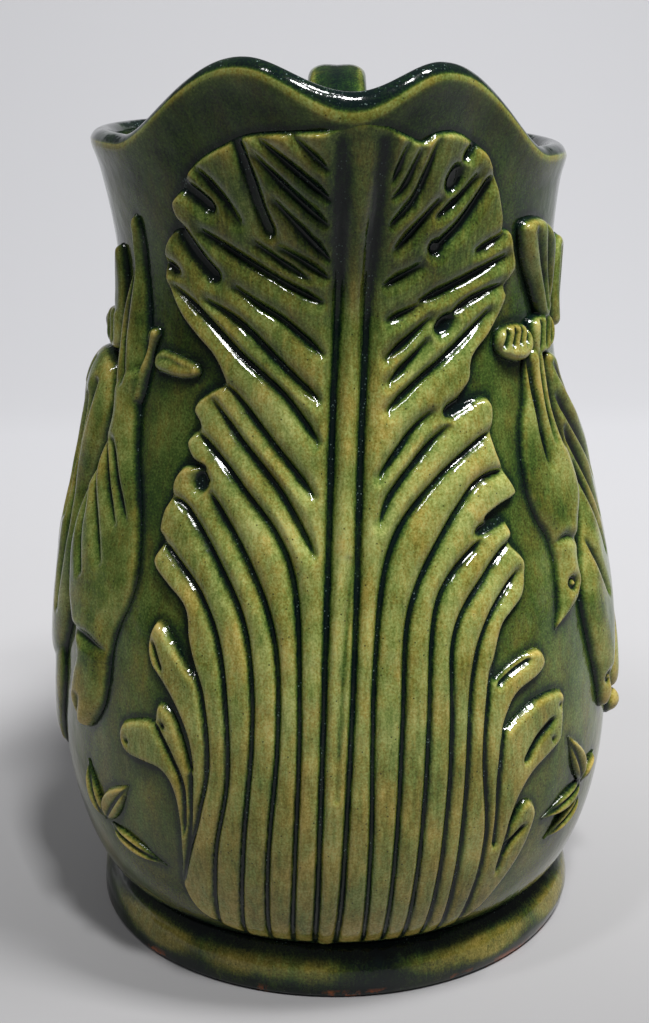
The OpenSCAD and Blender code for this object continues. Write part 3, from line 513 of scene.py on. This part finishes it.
def sprig(blades):
    """Pointed leaves, each with a vein; a blade is base, tip, width and lean."""
    leaves = Relief()
    for base, tip, width, lean in blades:
        leaves.lobe(blade(base, tip, width, lean), height=2.2, edge=1.6)
        mid = ((base[0] + tip[0])/2, (base[1] + tip[1])/2)
        leaves.groove([base, mid, tip], width=1.1, depth=1.1, start=3, end=5)
    return leaves.finish(seed=51)


def sprig_left():
    return sprig([((-56.2, 37), (-60.6, 52), 4.6, 0.6), ((-55, 38), (-46, 51.4), 6.4, 0.8),
                  ((-54, 37.4), (-38, 32.4), 4.6, -0.4)])


def sprig_right():
    return sprig([((55.4, 45), (49, 60.4), 5.4, -0.8), ((56, 45.6), (41.6, 41.4), 4.6, 0.6),
                  ((56, 42), (44, 34.4), 4.8, 0.4), ((56, 44.4), (62.6, 50), 4, 0.4)])


# Meshes and other objects
def add_object(name, data):
    """Puts a new object in the scene."""
    obj = bpy.data.objects.new(name, data)
    bpy.context.scene.collection.objects.link(obj)
    return obj


def make_object(name, points, faces, fields):
    """A smooth mesh object with number fields stored on its points."""
    mesh = bpy.data.meshes.new(name)
    mesh.from_pydata(points.tolist(), [], faces)
    mesh.polygons.foreach_set("use_smooth", np.ones(len(mesh.polygons), bool))
    for key, values in fields.items():
        layer = mesh.attributes.new(key, "FLOAT", "POINT")
        layer.data.foreach_set("value", np.ascontiguousarray(values, np.float32).ravel())
    mesh.update()
    return add_object(name, mesh)


SINK = 0.6  # how far an underside lies in the wall
THINNEST = 0.25  # least height of a moulded face
COVER = 0.55*Z_STEP  # a point this far outside still belongs to a piece
LEAST_SLOPE = 0.25
MOST_SLIDE = 0.4


def closed_cells(inside):
    """Chart cells that the piece covers, without cells that touch only at a corner."""
    keep = inside > -COVER
    cells = keep[:-1, :-1] & keep[1:, :-1] & keep[:-1, 1:] & keep[1:, 1:]
    for _ in range(3):
        a, b, c, d = cells[:-1, :-1], cells[:-1, 1:], cells[1:, :-1], cells[1:, 1:]
        cross = (a & d & ~b & ~c) | (b & c & ~a & ~d)
        for corner in (a, b, c, d):
            corner |= cross
    return cells


def under_faces(cells, rim, number, offset):
    """Faces of the hidden underside, merged in blocks away from the edge."""
    size = 4
    rows, cols = cells.shape[0]//size, cells.shape[1]//size
    whole = cells[:rows*size, :cols*size].reshape(rows, size, cols, size).all((1, 3))
    fine = cells.copy()
    fine[:rows*size, :cols*size] &= ~np.kron(whole, np.ones((size, size), bool))
    need = rim.copy()
    need[::size, ::size] = True
    for di in (0, 1):
        for dj in (0, 1):
            need[di:di + fine.shape[0], dj:dj + fine.shape[1]] |= fine
    out = [[number[i, j], number[i + 1, j], number[i + 1, j + 1], number[i, j + 1]]
           for i, j in zip(*np.nonzero(fine))]
    steps = range(size)
    for bi, bj in zip(*np.nonzero(whole)):
        i, j = bi*size, bj*size
        walk = ([(i + s, j) for s in steps] + [(i + size, j + s) for s in steps]
                + [(i + size - s, j + size) for s in steps] + [(i, j + size - s) for s in steps])
        out.append([number[p] for p in walk if need[p]])
    return [[int(v) + offset for v in face] for face in out]


def drop_loose(obj):
    """Deletes the points that no face uses."""
    bm = bmesh.new()
    bm.from_mesh(obj.data)
    bmesh.ops.delete(bm, geom=[v for v in bm.verts if not v.link_faces], context="VERTS")
    bm.to_mesh(obj.data)
    bm.free()


def edge_points(relief, used, rim):
    """Angles and heights of a piece's points, with those on the rim slid to its outline."""
    gz, ga = np.gradient(relief.inside, Z_STEP, A_STEP)
    ga = ga/MM_PER_DEG[:, None]
    slope = np.maximum(gz**2 + ga**2, LEAST_SLOPE)
    slide = np.where(rim, np.clip(-relief.inside, -MOST_SLIDE, MOST_SLIDE)/slope, 0)
    a = (A[None, :] + slide*ga/MM_PER_DEG[:, None])[used]
    z = (Z[:, None] + slide*gz)[used]
    return a, z


def side_faces(cells, full, number, offset):
    """Faces of the upright edge, one on each open side of a cell."""
    i, j = np.nonzero(cells)
    side = []
    for (ui, uj), (vi, vj), (ni, nj) in (((0, 0), (0, 1), (0, 1)), ((0, 1), (1, 1), (1, 2)),
                                         ((1, 1), (1, 0), (2, 1)), ((1, 0), (0, 0), (1, 0))):
        open_side = ~full[i + ni, j + nj]
        u = number[i + ui, j + uj][open_side]
        v = number[i + vi, j + vj][open_side]
        side.append(np.stack([v, u, u + offset, v + offset], axis=1))
    return np.vstack(side).tolist()


def relief_object(name, relief, fields):
    """A closed piece from a relief: the moulded face, its edge, and an underside sunk in the wall."""
    cells = closed_cells(relief.inside)
    full = np.zeros((len(Z) + 1, len(A) + 1), bool)
    full[1:-1, 1:-1] = cells
    around = (full[1:, 1:], full[1:, :-1], full[:-1, 1:], full[:-1, :-1])
    used = np.any(around, axis=0)
    rim = used & ~np.all(around, axis=0)
    n = int(used.sum())
    number = np.full(used.shape, -1)
    number[used] = np.arange(n)
    a, z = edge_points(relief, used, rim)
    r = wall_r(a, z)
    h = np.maximum(relief.height, THINNEST)[used]
    points = np.vstack([place(a, z, r + h), place(a, z, r - SINK)])
    i, j = np.nonzero(cells)
    top = np.stack([number[i, j], number[i, j + 1], number[i + 1, j + 1], number[i + 1, j]], axis=1)
    faces = top.tolist() + side_faces(cells, full, number, n) + under_faces(cells, rim, number, n)
    spread = {key: np.concatenate([values[used], values[used]]) for key, values in fields.items()}
    obj = make_object(name, points, faces, spread)
    drop_loose(obj)
    return obj


def sample(field, a, z):
    """Chart values at any angles and heights, by linear reading between cells."""
    x = np.mod(a + 180, 360)/A_STEP - 0.5
    y = np.clip((z - Z[0])/Z_STEP, 0, len(Z) - 1.001)
    j, i = np.floor(x).astype(int), np.floor(y).astype(int)
    u, v = x - j, y - i
    j0, j1 = j % len(A), (j + 1) % len(A)
    low = field[i, j0]*(1 - u) + field[i, j1]*u
    high = field[i + 1, j0]*(1 - u) + field[i + 1, j1]*u
    return low*(1 - v) + high*v


BODY_COLS = 660
LIP_BEAD = 0.6
LIP_OUT = 3.2  # half thickness of the lip, outside and inside
LIP_IN = 2.4
SPOUT_BEVEL = 2.8  # how much deeper the lip is rounded at the spout
SPOUT_BEVEL_HALF = 11.0
CURVE_Z = FLOOR_Z + 16  # where the inside curves to the floor
CURVE_R = 15.0
FLOOR_EDGE = NECK_R - 0.3  # radius of the floor slab
FLOOR_UNDER = 3.1


class Lathe:
    """A turned piece: rows of points around the axis, each with its radius, height and glaze."""

    def __init__(self, cols):
        self.a = np.arange(cols)*360/cols - 180
        self.rows = []

    def row(self, r, z, pool, thin):
        self.rows.append([value + 0*self.a for value in (r, z, pool, thin)])

    def build(self, name, capped=True):
        """The closed mesh; the rows run from the outside bottom inwards."""
        r, z, pool, thin = np.array(self.rows).transpose(1, 0, 2)
        points = place(np.broadcast_to(self.a, r.shape), z, r).reshape(-1, 3)
        index = np.arange(r.size).reshape(r.shape)
        right = np.roll(index, -1, axis=1)
        faces = np.stack([index[:-1], right[:-1], right[1:], index[1:]], axis=-1).reshape(-1, 4).tolist()
        if capped:
            faces += [index[0][::-1].tolist(), index[-1].tolist()]
        return make_object(name, points, faces, {"pool": pool.reshape(-1), "thin": thin.reshape(-1)})


def outside_row(cup, z, corner, pool, thin):
    """One row of the outside, which wavers; the glaze is thin along the lip's edge."""
    a = cup.a
    z = z + 0*a
    waver = 0.12*np.sin(np.radians(3*a + 40) + z/23) + 0.1*np.sin(np.radians(5*a) - z/31)
    # darker in the crease above the foot; the darkening towards the lip is partly thicker glaze and partly
    # painted shade
    crease_and_high_shade = 0.9*(1 - ease((z - NECK_Z)/6.5)) + 0.36*ease((z - 176)/24)
    bead = LIP_BEAD*np.exp(-((corner - z)/3.4)**2)
    line = 0.4*np.exp(-((corner - z)/0.5)**2) + 0.25*np.exp(-((corner - z)/2.6)**2)
    cup.row(wall_r(a, z) + waver*ease((z - NECK_Z)/12) + bead, z,
            np.maximum(sample(pool, a, z), crease_and_high_shade)*(1 - line), np.maximum(sample(thin, a, z), 0.8*line))


def lip_rows(cup, lip, bevel):
    """The rounded lip, from its outer edge over the top."""
    top = wall_r(cup.a, lip - bevel) + LIP_BEAD - LIP_OUT
    for turn in np.linspace(18, 168, 21):
        c, s = math.cos(math.radians(turn)), math.sin(math.radians(turn))
        wide, deep = (LIP_OUT, bevel) if turn < 90 else (LIP_IN, LIP_IN)
        cup.row(top + wide*c, lip - deep*(1 - s), 0.95*ease((turn - 16)/16),
                0.5*math.exp(-((turn - 18)/5)**2))


def inside_rows(cup, lip):
    """The inside of the wall, the curve at its foot and the floor."""
    start = lip - LIP_OUT
    for t in np.linspace(0, 1, 40):
        z = start + (CURVE_Z - start)*t
        cup.row(wall_r(cup.a, z) - WALL, z, 0.35 + 0.5*ease((t - 0.85)/0.15), 0)
    inner = float(body_r(CURVE_Z)) - WALL
    for turn in np.linspace(8, 90, 9):
        c, s = math.cos(math.radians(turn)), math.sin(math.radians(turn))
        cup.row(inner - CURVE_R*(1 - c), CURVE_Z - CURVE_R*s, 0.8, 0)
    for r in (36, 24, 12, 3):
        cup.row(r, FLOOR_Z + 1, 0.6, 0)


def body_object(pool, thin):
    """Wall, spout and lip as one glazed cup."""
    cup = Lathe(BODY_COLS)
    lip = lip_z(cup.a)
    bevel = LIP_OUT + SPOUT_BEVEL*np.exp(-(cup.a/SPOUT_BEVEL_HALF)**2)
    corner = lip - bevel
    under = 1 - np.cos(np.radians(np.linspace(0, 90, 52)))
    heights = list(NECK_Z + (BELLY_Z - NECK_Z)*under) + list(np.arange(BELLY_Z + 1, SEAM_Z, 1.0))
    heights += [SEAM_Z + (corner - SEAM_Z)*t for t in 1 - np.linspace(1, 0, 80)**1.5]
    cup.row(FLOOR_EDGE, FLOOR_Z + 0.1, 1, 0)
    for z in heights:
        outside_row(cup, z, corner, pool, thin)
    lip_rows(cup, lip, bevel)
    inside_rows(cup, lip)
    return cup.build("body")


# The foot ring's section as (radius from the neck or from the widest place, height, tone of the glaze)
FOOT_UNDER = [(-6, 1.2, 0.2), (-5.6, 0.25, 0), (-4.6, 0, 0)]
FOOT_OUTSIDE = [(-1.8, 0, 0.1), (-0.9, 0.2, 0.7), (-0.3, 1, 0.95), (0, 2.6, 0.8), (0.05, 4.6, 0.5),
                (-0.25, 6.7, 0.2), (-0.9, 8.6, 0.05), (-1.9, 10.3, 0.2), (-3.0, 11.6, 0.55),
                (-3.8, 12.4, 1)]
FOOT_HIDDEN = [(0, FOOT_H, 1), (0, 3, 1), (-5, 3, 0.2)]
FOOT_COLS = 360
FLOOR_COLS = 180


def foot_section():
    """Radius, height and tone along the foot ring's section, smooth where it shows."""
    under, hidden = ([(NECK_R + r, z, tone) for r, z, tone in part] for part in (FOOT_UNDER, FOOT_HIDDEN))
    shown = under + [(NECK_R + FOOT_OUT + r, z, tone) for r, z, tone in FOOT_OUTSIDE]
    line = spline([(r, z) for r, z, _ in shown], gap=0.45)
    share = np.linspace(0, len(shown) - 1, len(line))
    tone = np.interp(share, range(len(shown)), [t for _, _, t in shown])
    return np.vstack([np.column_stack([line, tone]), hidden])


def ripples(a, *waves):
    """A sum of waves around the axis, each given as height, count and turn."""
    return sum(height*np.sin(np.radians(count*a + turn)) for height, count, turn in waves)


def foot_object():
    """Rounded foot ring, uneven as a hand-finished one is."""
    ring = Lathe(FOOT_COLS)
    swell = ripples(ring.a, (0.18, 2, 25), (0.12, 7, 0), (0.1, 11, 70), (0.5, 1, 0))
    seam = 0.22*np.exp(-((ring.a + 3)/1.1)**2)
    patch = ripples(ring.a, (0.22, 4, 80), (0.18, 9, 10), (0.1, 17, 0))
    for r, z, tone in foot_section():
        bulge = np.clip((z - 1)/3, 0, 1)*np.clip((12 - z)/3, 0, 1)*(r > NECK_R)
        pool = np.clip(tone + patch*bulge, 0, 1)
        ring.row(r + bulge*(swell + seam), z, pool, np.clip(0.55 - 1.1*pool, 0, 1)*bulge)
    ring.rows.append(ring.rows[0])
    return ring.build("foot", capped=False)


def floor_object():
    """Unglazed underside with faint turning marks."""
    slab = Lathe(FLOOR_COLS)
    steps = np.linspace(0.02, 1, 60)
    for t in steps:
        slab.row(FLOOR_EDGE*t, FLOOR_UNDER + (0.12*np.sin(t*70) + 0.08*np.sin(t*33)), 0, 0)
    for t in steps[::-1]:
        slab.row(FLOOR_EDGE*t, FLOOR_Z - 0.02, 0, 0)
    return slab.build("base_floor")


# The strap's line as (share of its reach from the body, height)
HANDLE_STAND = [(0.02, 190), (0.13, 203), (0.35, 209), (0.63, 205), (0.875, 191), (1, 170), (0.91, 146),
                (0.675, 122), (0.405, 102), (0.175, 89), (0.02, 82)]
HANDLE_ROOTS = [(-0.8, -2.5), (-1.8, -1.2)]  # how far its upper and lower ends run on into the wall
STRAP_COLS = 40


def handle_path():
    """Middle line of the strap as (distance from the axis, height)."""
    gap = HANDLE_REACH - WAIST_R
    path = spline([(float(body_r(z)) + s*gap, z) for s, z in HANDLE_STAND], gap=0.8)
    upper, lower = HANDLE_ROOTS
    return np.vstack([path[0] + upper, path, path[-1] + lower])


def strap_section():
    """The section in shares of width and thickness, with a channel along the back."""
    turn = np.radians(np.arange(STRAP_COLS)*360/STRAP_COLS)
    side = np.sign(np.cos(turn))*np.abs(np.cos(turn))**0.75*0.5
    lift = np.sign(np.sin(turn))*np.abs(np.sin(turn))**0.8*0.46
    return side, lift - 0.05*np.exp(-(side/0.17)**2)*(lift > 0)


def strap_glaze(side, lift, run):
    """Glaze that pools in the channel and at the ends and is thin along the edges."""
    deep = np.exp(-(side/0.12)**2)*(lift > 0)*0.5
    ends = 0.9*np.exp(-run/0.025) + 0.9*np.exp(-(1 - run)/0.03)
    pool = np.clip(0.25 + deep[None, :] + ends[:, None], 0, 1)
    edge = np.exp(-((np.abs(side) - 0.4)/0.06)**2)*(lift > 0)*0.5
    thin = np.broadcast_to(edge, pool.shape)*(1 - np.clip(ends, 0, 1))[:, None]
    return {"pool": pool.reshape(-1), "thin": thin.reshape(-1)}


def handle_object():
    """Pulled strap that spreads where it is luted on."""
    path = handle_path()
    step = np.gradient(path, axis=0)
    step /= np.linalg.norm(step, axis=1)[:, None]
    run = np.linspace(0, 1, len(path))
    side, lift = strap_section()
    spread = 1 + 0.3*np.exp(-run/0.05) + 0.35*np.exp(-(1 - run)/0.05)
    waist = 1 - 0.12*ease((run - 0.25)/0.7)
    x = HANDLE_W*side[None, :]*(spread*waist)[:, None]
    out = HANDLE_T*lift[None, :]*(0.7 + 0.3*spread)[:, None]
    y = path[:, :1] - step[:, 1:]*out
    z = path[:, 1:] + step[:, :1]*out
    c, s = math.cos(math.radians(HANDLE_TURN)), math.sin(math.radians(HANDLE_TURN))
    points = np.stack([c*x + s*y, c*y - s*x, z], axis=-1).reshape(-1, 3)*MM
    index = np.arange(x.size).reshape(x.shape)
    right = np.roll(index, -1, axis=1)
    quads = np.stack([index[:-1], index[1:], right[1:], right[:-1]], axis=-1).reshape(-1, 4)
    faces = quads.tolist() + [index[0].tolist(), index[-1][::-1].tolist()]
    return make_object("handle_strap", points, faces, strap_glaze(side, lift, run))


# Materials
def linear(r, g, b):
    """A colour written as it shows on screen, 0 to 255."""
    return tuple((c/255/12.92 if c < 10 else ((c/255 + 0.055)/1.055)**2.4) for c in (r, g, b)) + (1,)


GLAZE_GREEN = [(0.0, (158, 162, 98)), (0.16, (131, 140, 76)), (0.36, (93, 110, 50)), (0.56, (56, 78, 28)),
               (0.76, (25, 45, 22)), (1.0, (7, 19, 19))]
GLAZE_AMBER = [(0.0, (178, 156, 88)), (0.16, (148, 132, 64)), (0.36, (112, 104, 40)), (0.56, (72, 74, 28)),
               (0.76, (34, 43, 20)), (1.0, (10, 19, 18))]
CLAY_ORANGE = (176, 92, 44)
SPECK_BROWN = (20, 22, 13)
GLINT_BLUE = (104, 124, 118)
GRAIN_SHARE = 0.8


class Nodes:
    """Short forms for building a node tree."""

    def __init__(self, name):
        self.material = bpy.data.materials.new(name)
        self.material.use_nodes = True
        self.tree = self.material.node_tree
        self.shader = self.tree.nodes["Principled BSDF"]
        self.spot = self.add("ShaderNodeTexCoord").outputs["Object"]

    def add(self, kind, inputs=(), **settings):
        node = self.tree.nodes.new(kind)
        for key, value in settings.items():
            setattr(node, key, value)
        return self.fill(node, dict(inputs))

    def fill(self, node, inputs):
        """Links or sets a node's inputs."""
        for key, value in inputs.items():
            if hasattr(value, "is_output"):
                self.tree.links.new(value, node.inputs[key])
            else:
                node.inputs[key].default_value = value
        return node

    def finish(self, inputs):
        self.fill(self.shader, inputs)
        return self.material

    def math(self, operation, a, b=0.0, clamp=False):
        return self.add("ShaderNodeMath", {0: a, 1: b}, operation=operation, use_clamp=clamp).outputs[0]

    def axis(self, letter):
        return self.add("ShaderNodeSeparateXYZ", {0: self.spot}).outputs[letter]

    def field(self, name):
        return self.add("ShaderNodeAttribute", attribute_name=name).outputs["Fac"]

    def stretched(self, x, y, z):
        return self.add("ShaderNodeMapping", {"Scale": (x, y, z), "Vector": self.spot}).outputs[0]

    def noise(self, scale, detail=3.0, rough=0.55, where=None):
        inputs = {"Scale": scale, "Detail": detail, "Roughness": rough, "Vector": where or self.spot}
        return self.add("ShaderNodeTexNoise", inputs).outputs["Fac"]

    def ripple(self, *noise):
        return self.math("SUBTRACT", self.noise(*noise), 0.5)

    def dots(self, scale, edge, share):
        """Scattered round dots with a soft edge, in a share of the cells of a pattern."""
        cells = self.add("ShaderNodeTexVoronoi", {"Scale": scale, "Vector": self.spot})
        return self.math("MULTIPLY", self.range(cells.outputs["Distance"], *edge),
                         self.range(cells.outputs["Color"], *share))

    def steps(self, value, stops):
        node = self.add("ShaderNodeValToRGB", {0: value})
        ramp = node.color_ramp
        while len(ramp.elements) < len(stops):
            ramp.elements.new(0.5)
        for element, (place_at, colour) in zip(ramp.elements, stops):
            element.position = place_at
            element.color = colour
        return node.outputs[0]

    def range(self, value, low, high, to_low=0.0, to_high=1.0):
        inputs = {"Value": value, "From Min": low, "From Max": high, "To Min": to_low, "To Max": to_high}
        return self.add("ShaderNodeMapRange", inputs).outputs[0]

    def mix(self, share, a, b):
        return self.add("ShaderNodeMix", {0: share, 6: a, 7: b}, data_type="RGBA").outputs[2]

    def bump(self, height, strength, distance, below=None):
        inputs = {"Height": height, "Strength": strength, "Distance": distance}
        if below:
            inputs["Normal"] = below
        return self.add("ShaderNodeBump", inputs).outputs[0]


def glaze_tone(n, pool, thin, depth, waves):
    """How dark the glaze is, from thin ridges to deep pools, stirred by waves of (noise, share)."""
    tone = n.math("ADD", n.math("MULTIPLY", pool, 1 - depth), depth)
    tone = n.math("SUBTRACT", tone, n.math("MULTIPLY", thin, depth))
    for wave, share in waves:
        tone = n.math("ADD", tone, n.math("MULTIPLY", wave, share))
    return n.math("ADD", tone, 0.0, clamp=True)


def glaze(name, depth, mottle, streaks, bare=False):
    """Lead glaze: pale where it is thin on ridges, near black where it pools, streaked and specked."""
    n = Nodes(name)
    pool, thin, height = n.field("pool"), n.field("thin"), n.axis("Z")
    cloud = n.ripple(64, 5, 0.66)
    streak = n.ripple(1000, 4, 0.7, n.stretched(1, 1, 0.14))
    grainy = n.ripple(1900, 3, 0.7)
    tone = glaze_tone(n, pool, thin, depth, ((cloud, mottle), (streak, streaks), (grainy, GRAIN_SHARE)))
    green = n.steps(tone, [(at, linear(*c)) for at, c in GLAZE_GREEN])
    amber = n.steps(tone, [(at, linear(*c)) for at, c in GLAZE_AMBER])
    warm = n.math("ADD", n.noise(150, 5, 0.7, n.stretched(1, 1, 0.4)), n.math("MULTIPLY", thin, 0.12))
    warm = n.math("ADD", warm, n.math("MULTIPLY", grainy, GRAIN_SHARE))
    warm = n.math("ADD", warm, n.range(height, 0.09, 0.015, 0, 0.13))
    colour = n.mix(n.range(warm, 0.44, 0.72), green, amber)
    speck = n.math("MULTIPLY", n.dots(540, (0.13, 0.08), (0.4, 0.44)), 0.8)
    colour = n.mix(speck, colour, linear(*SPECK_BROWN))
    glint = n.math("MULTIPLY", n.dots(1500, (0.3, 0.2), (0.5, 0.56)), n.range(n.noise(170), 0.46, 0.6))
    glint = n.math("MULTIPLY", glint, n.range(pool, 0.75, 0.95, 0, 0.7))
    colour = n.mix(glint, colour, linear(*GLINT_BLUE))
    if bare:
        edge = n.range(height, 0.0026, 0.0008)
        worn = n.math("MULTIPLY", edge, n.range(n.noise(55, 5, 0.7), 0.56, 0.63), clamp=True)
        colour = n.mix(worn, colour, linear(*CLAY_ORANGE))
    wave = n.bump(n.noise(130, 2, 0.5), 0.5, 0.0006)
    return n.finish({"Base Color": colour,
                     "Roughness": n.range(n.noise(240, 3, 0.6), 0.3, 0.75, 0.06, 0.15),
                     "IOR": 1.54,
                     "Specular IOR Level": 0.32,
                     "Normal": n.bump(n.noise(1000, 2, 0.5), 0.3, 0.00012, wave)})


def bare_clay(name):
    """Unglazed buff clay, gritty, with specks and stray glaze."""
    n = Nodes(name)
    body = n.steps(n.noise(120, 6, 0.7), [(0.25, linear(150, 102, 66)), (0.55, linear(184, 136, 92)),
                                          (0.8, linear(206, 164, 120))])
    drip = n.range(n.noise(34, 5, 0.65), 0.6, 0.66)
    return n.finish({"Base Color": n.mix(drip, body, linear(74, 82, 34)),
                     "Roughness": n.range(drip, 0, 1, 0.82, 0.2),
                     "Normal": n.bump(n.noise(1500, 4, 0.6), 0.4, 0.0002)})


# The reliefs with their glazes, and the glaze that gathers in them, with painted shade along outlines and
# in hollows
RELIEFS = {
    "acanthus_leaf": (leaf_relief, "leaf_glaze"),
    "bird_right_front": (bird_right_front, "bird_glaze"),
    "bird_right_back": (bird_right_back, "bird_glaze"),
    "bird_left_front": (bird_left_front, "bird_glaze"),
    "bird_left_back": (bird_left_back, "bird_glaze"),
    "cord_left": (cord_left, "leaf_glaze"),
    "cord_right": (cord_right, "leaf_glaze"),
    "sprig_left": (sprig_left, "leaf_glaze"),
    "sprig_right": (sprig_right, "leaf_glaze"),
}


def glaze_fields(made):
    """Where glaze pools in grooves and where it is thin; the darkening along outlines, in hollows and high
    under the lip is partly pooled glaze and partly painted shade.
    """
    height, angle = Z[:, None], A[None, :]
    skyline, carved, outline = blank(), blank(), blank()
    for piece in made.values():
        skyline = np.maximum(skyline, piece.height)
        carved = np.maximum(carved, np.where(piece.inside > 0, piece.carve, 0))
        # a dark line along each outline: partly pooled glaze, partly painted shade
        outline = np.maximum(outline, np.exp(-((piece.inside + 0.3)/0.8)**2))
    outline = outline*(1 - ease((skyline - 0.6)/1.2))
    # hollows, narrow and broad, are darkened: partly pooled glaze, partly painted shade
    hollow = blur(skyline, 1.0) - skyline
    broad = blur(skyline, 3.4) - skyline
    valley = 0.2*ease(blur(carved, 0.9)/0.5)
    # darker high up and beside the midrib under the spout: partly thicker glaze, partly painted shade;
    # less of it right under the lip
    high_glaze_and_shade = 0.3*ease((height - 135)/45) + 0.2*ease((height - 150)/35)*np.exp(-((angle + 3)/13)**2)
    high_glaze_and_shade = high_glaze_and_shade*(1 - 0.45*ease((height - 192)/10))
    pool = 0.64*ease(carved/1.1) + 0.4*ease(hollow/0.8) + 0.25*np.clip(broad, 0, 1) + 0.6*outline
    ridge = np.clip(-1.7*(blur(skyline, 0.6) - skyline) - 0.3*broad, 0, 1)
    hem = np.exp(-((height - 17.4)/2)**2)*(made["acanthus_leaf"].inside > 0)
    thin = np.maximum(ridge, 0.55*hem*(1 - ease(carved/0.4)))
    return {"pool": np.clip(pool + valley + high_glaze_and_shade, 0, 1), "thin": thin}


GLAZES = {
    "body_glaze": dict(depth=0.48, mottle=0.75, streaks=0.16),
    "foot_glaze": dict(depth=0.7, mottle=0.9, streaks=0.4, bare=True),
    "handle_glaze": dict(depth=0.7, mottle=0.8, streaks=0.3),
    "leaf_glaze": dict(depth=0.27, mottle=0.8, streaks=0.6),
    "bird_glaze": dict(depth=0.45, mottle=1.2, streaks=0.3),
}
BODY_SOFT = 0.45  # blur of the fields where they are read on the body's wider grid
made = {name: build() for name, (build, _) in RELIEFS.items()}
fields = glaze_fields(made)
looks = {name: glaze(name, **how) for name, how in GLAZES.items()}
looks["bare_clay"] = bare_clay("bare_clay")


def dress(obj, slot, *nodes):
    """Gives a piece its glaze and puts it in place of its solids."""
    obj.data.materials.append(looks[slot])
    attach(obj, "root")
    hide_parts(*nodes)


body = body_object(blur(fields["pool"], BODY_SOFT), blur(fields["thin"], BODY_SOFT))
dress(body, "body_glaze", "vessel_wall", "spout_collar")
dress(foot_object(), "foot_glaze", "foot_ring")
dress(floor_object(), "bare_clay", "base_disc")
dress(handle_object(), "handle_glaze", "handle")
for name, (_, slot) in RELIEFS.items():
    dress(relief_object(name + "_moulding", made[name], fields), slot, name)


# Floor, light and camera
FLOOR_GREY = (168, 167, 168)
WALL_GREY = (206, 206, 209)
FRONT_SHADE = 0.7


def paper(name):
    """Matt studio paper with painted shade: darker in front of the jug, paler towards the backdrop."""
    n = Nodes(name)
    away = n.axis("Y")
    shade = n.math("ADD", n.range(away, 0.06, 0.5), n.math("MULTIPLY", n.noise(3, 2, 0.5), 0.06))
    front = n.range(away, 0.06, -0.16)
    ground = n.mix(front, linear(*FLOOR_GREY), linear(*(FRONT_SHADE*c for c in FLOOR_GREY)))
    return n.finish({"Base Color": n.mix(shade, ground, linear(*WALL_GREY)), "Roughness": 0.75})


def sweep_floor():
    """A pale floor that curves up into a backdrop."""
    front, far, bend, top, wide = -2.2, 1.15, 0.6, 0.62, 3.0
    line = [(front, 0.0), (far - bend, 0.0)]
    line += [(far - bend + bend*math.sin(t), bend - bend*math.cos(t))
             for t in np.linspace(0.1, math.pi/2, 14)]
    line += [(far, top)]
    points = np.array([(x, y, z) for y, z in line for x in (-wide, wide)])
    faces = [[2*i, 2*i + 1, 2*i + 3, 2*i + 2] for i in range(len(line) - 1)]
    obj = make_object("studio_floor", points, faces, {})
    obj.data.materials.append(paper("studio_paper"))


# Each softbox: place and size in metres, power in watts
SOFTBOXES = {
    "key_softbox": ((0.42, -0.2, 1.2), (0.2, 0.32), 15.5),
    "front_softbox": ((0.16, -0.55, 1.3), (0.14, 0.2), 13),
    "left_softbox": ((-0.42, -0.45, 1.25), (0.1, 0.26), 3.6),
}
LIGHT_AIM = (0, 0, 0.1)
SURROUND = 0.11


def softbox(name, where, size, power):
    """A rectangular light that faces the jug."""
    light = bpy.data.lights.new(name, "AREA")
    light.shape = "RECTANGLE"
    light.size, light.size_y = size
    light.energy = power
    obj = add_object(name, light)
    obj.location = where
    obj.rotation_euler = (Vector(LIGHT_AIM) - Vector(where)).to_track_quat("-Z", "Y").to_euler()


def surround(strength):
    """Even pale light from all round."""
    world = bpy.data.worlds.new("surround")
    bpy.context.scene.world = world
    world.use_nodes = True
    back = world.node_tree.nodes["Background"]
    back.inputs["Color"].default_value = (0.93, 0.95, 1.0, 1)
    back.inputs["Strength"].default_value = strength


CAMERA_AT = (-20.9, -398.1, 226.8)
CAMERA_PITCH = 17.2
FOCAL_PX = 1609
PHOTO_TALL = 1023
AXIS_OFFSET_PX = 9.7
SENSOR = 36


def photo_camera():
    """The photograph's view: the jug's axis stands a little right of the middle."""
    data = bpy.data.cameras.new("photo_camera")
    data.sensor_width = SENSOR
    data.lens = SENSOR*FOCAL_PX/PHOTO_TALL
    data.shift_x = -AXIS_OFFSET_PX/PHOTO_TALL
    data.clip_start = 0.01
    obj = add_object("photo_camera", data)
    obj.location = Vector(CAMERA_AT)*MM
    heading = math.atan2(-CAMERA_AT[0], -CAMERA_AT[1])
    obj.rotation_euler = (math.radians(90 - CAMERA_PITCH), 0, -heading)
    bpy.context.scene.camera = obj


sweep_floor()
surround(SURROUND)
for name, (where, size, power) in SOFTBOXES.items():
    softbox(name, where, size, power)
photo_camera()
bpy.context.scene.view_settings.view_transform = "Standard"
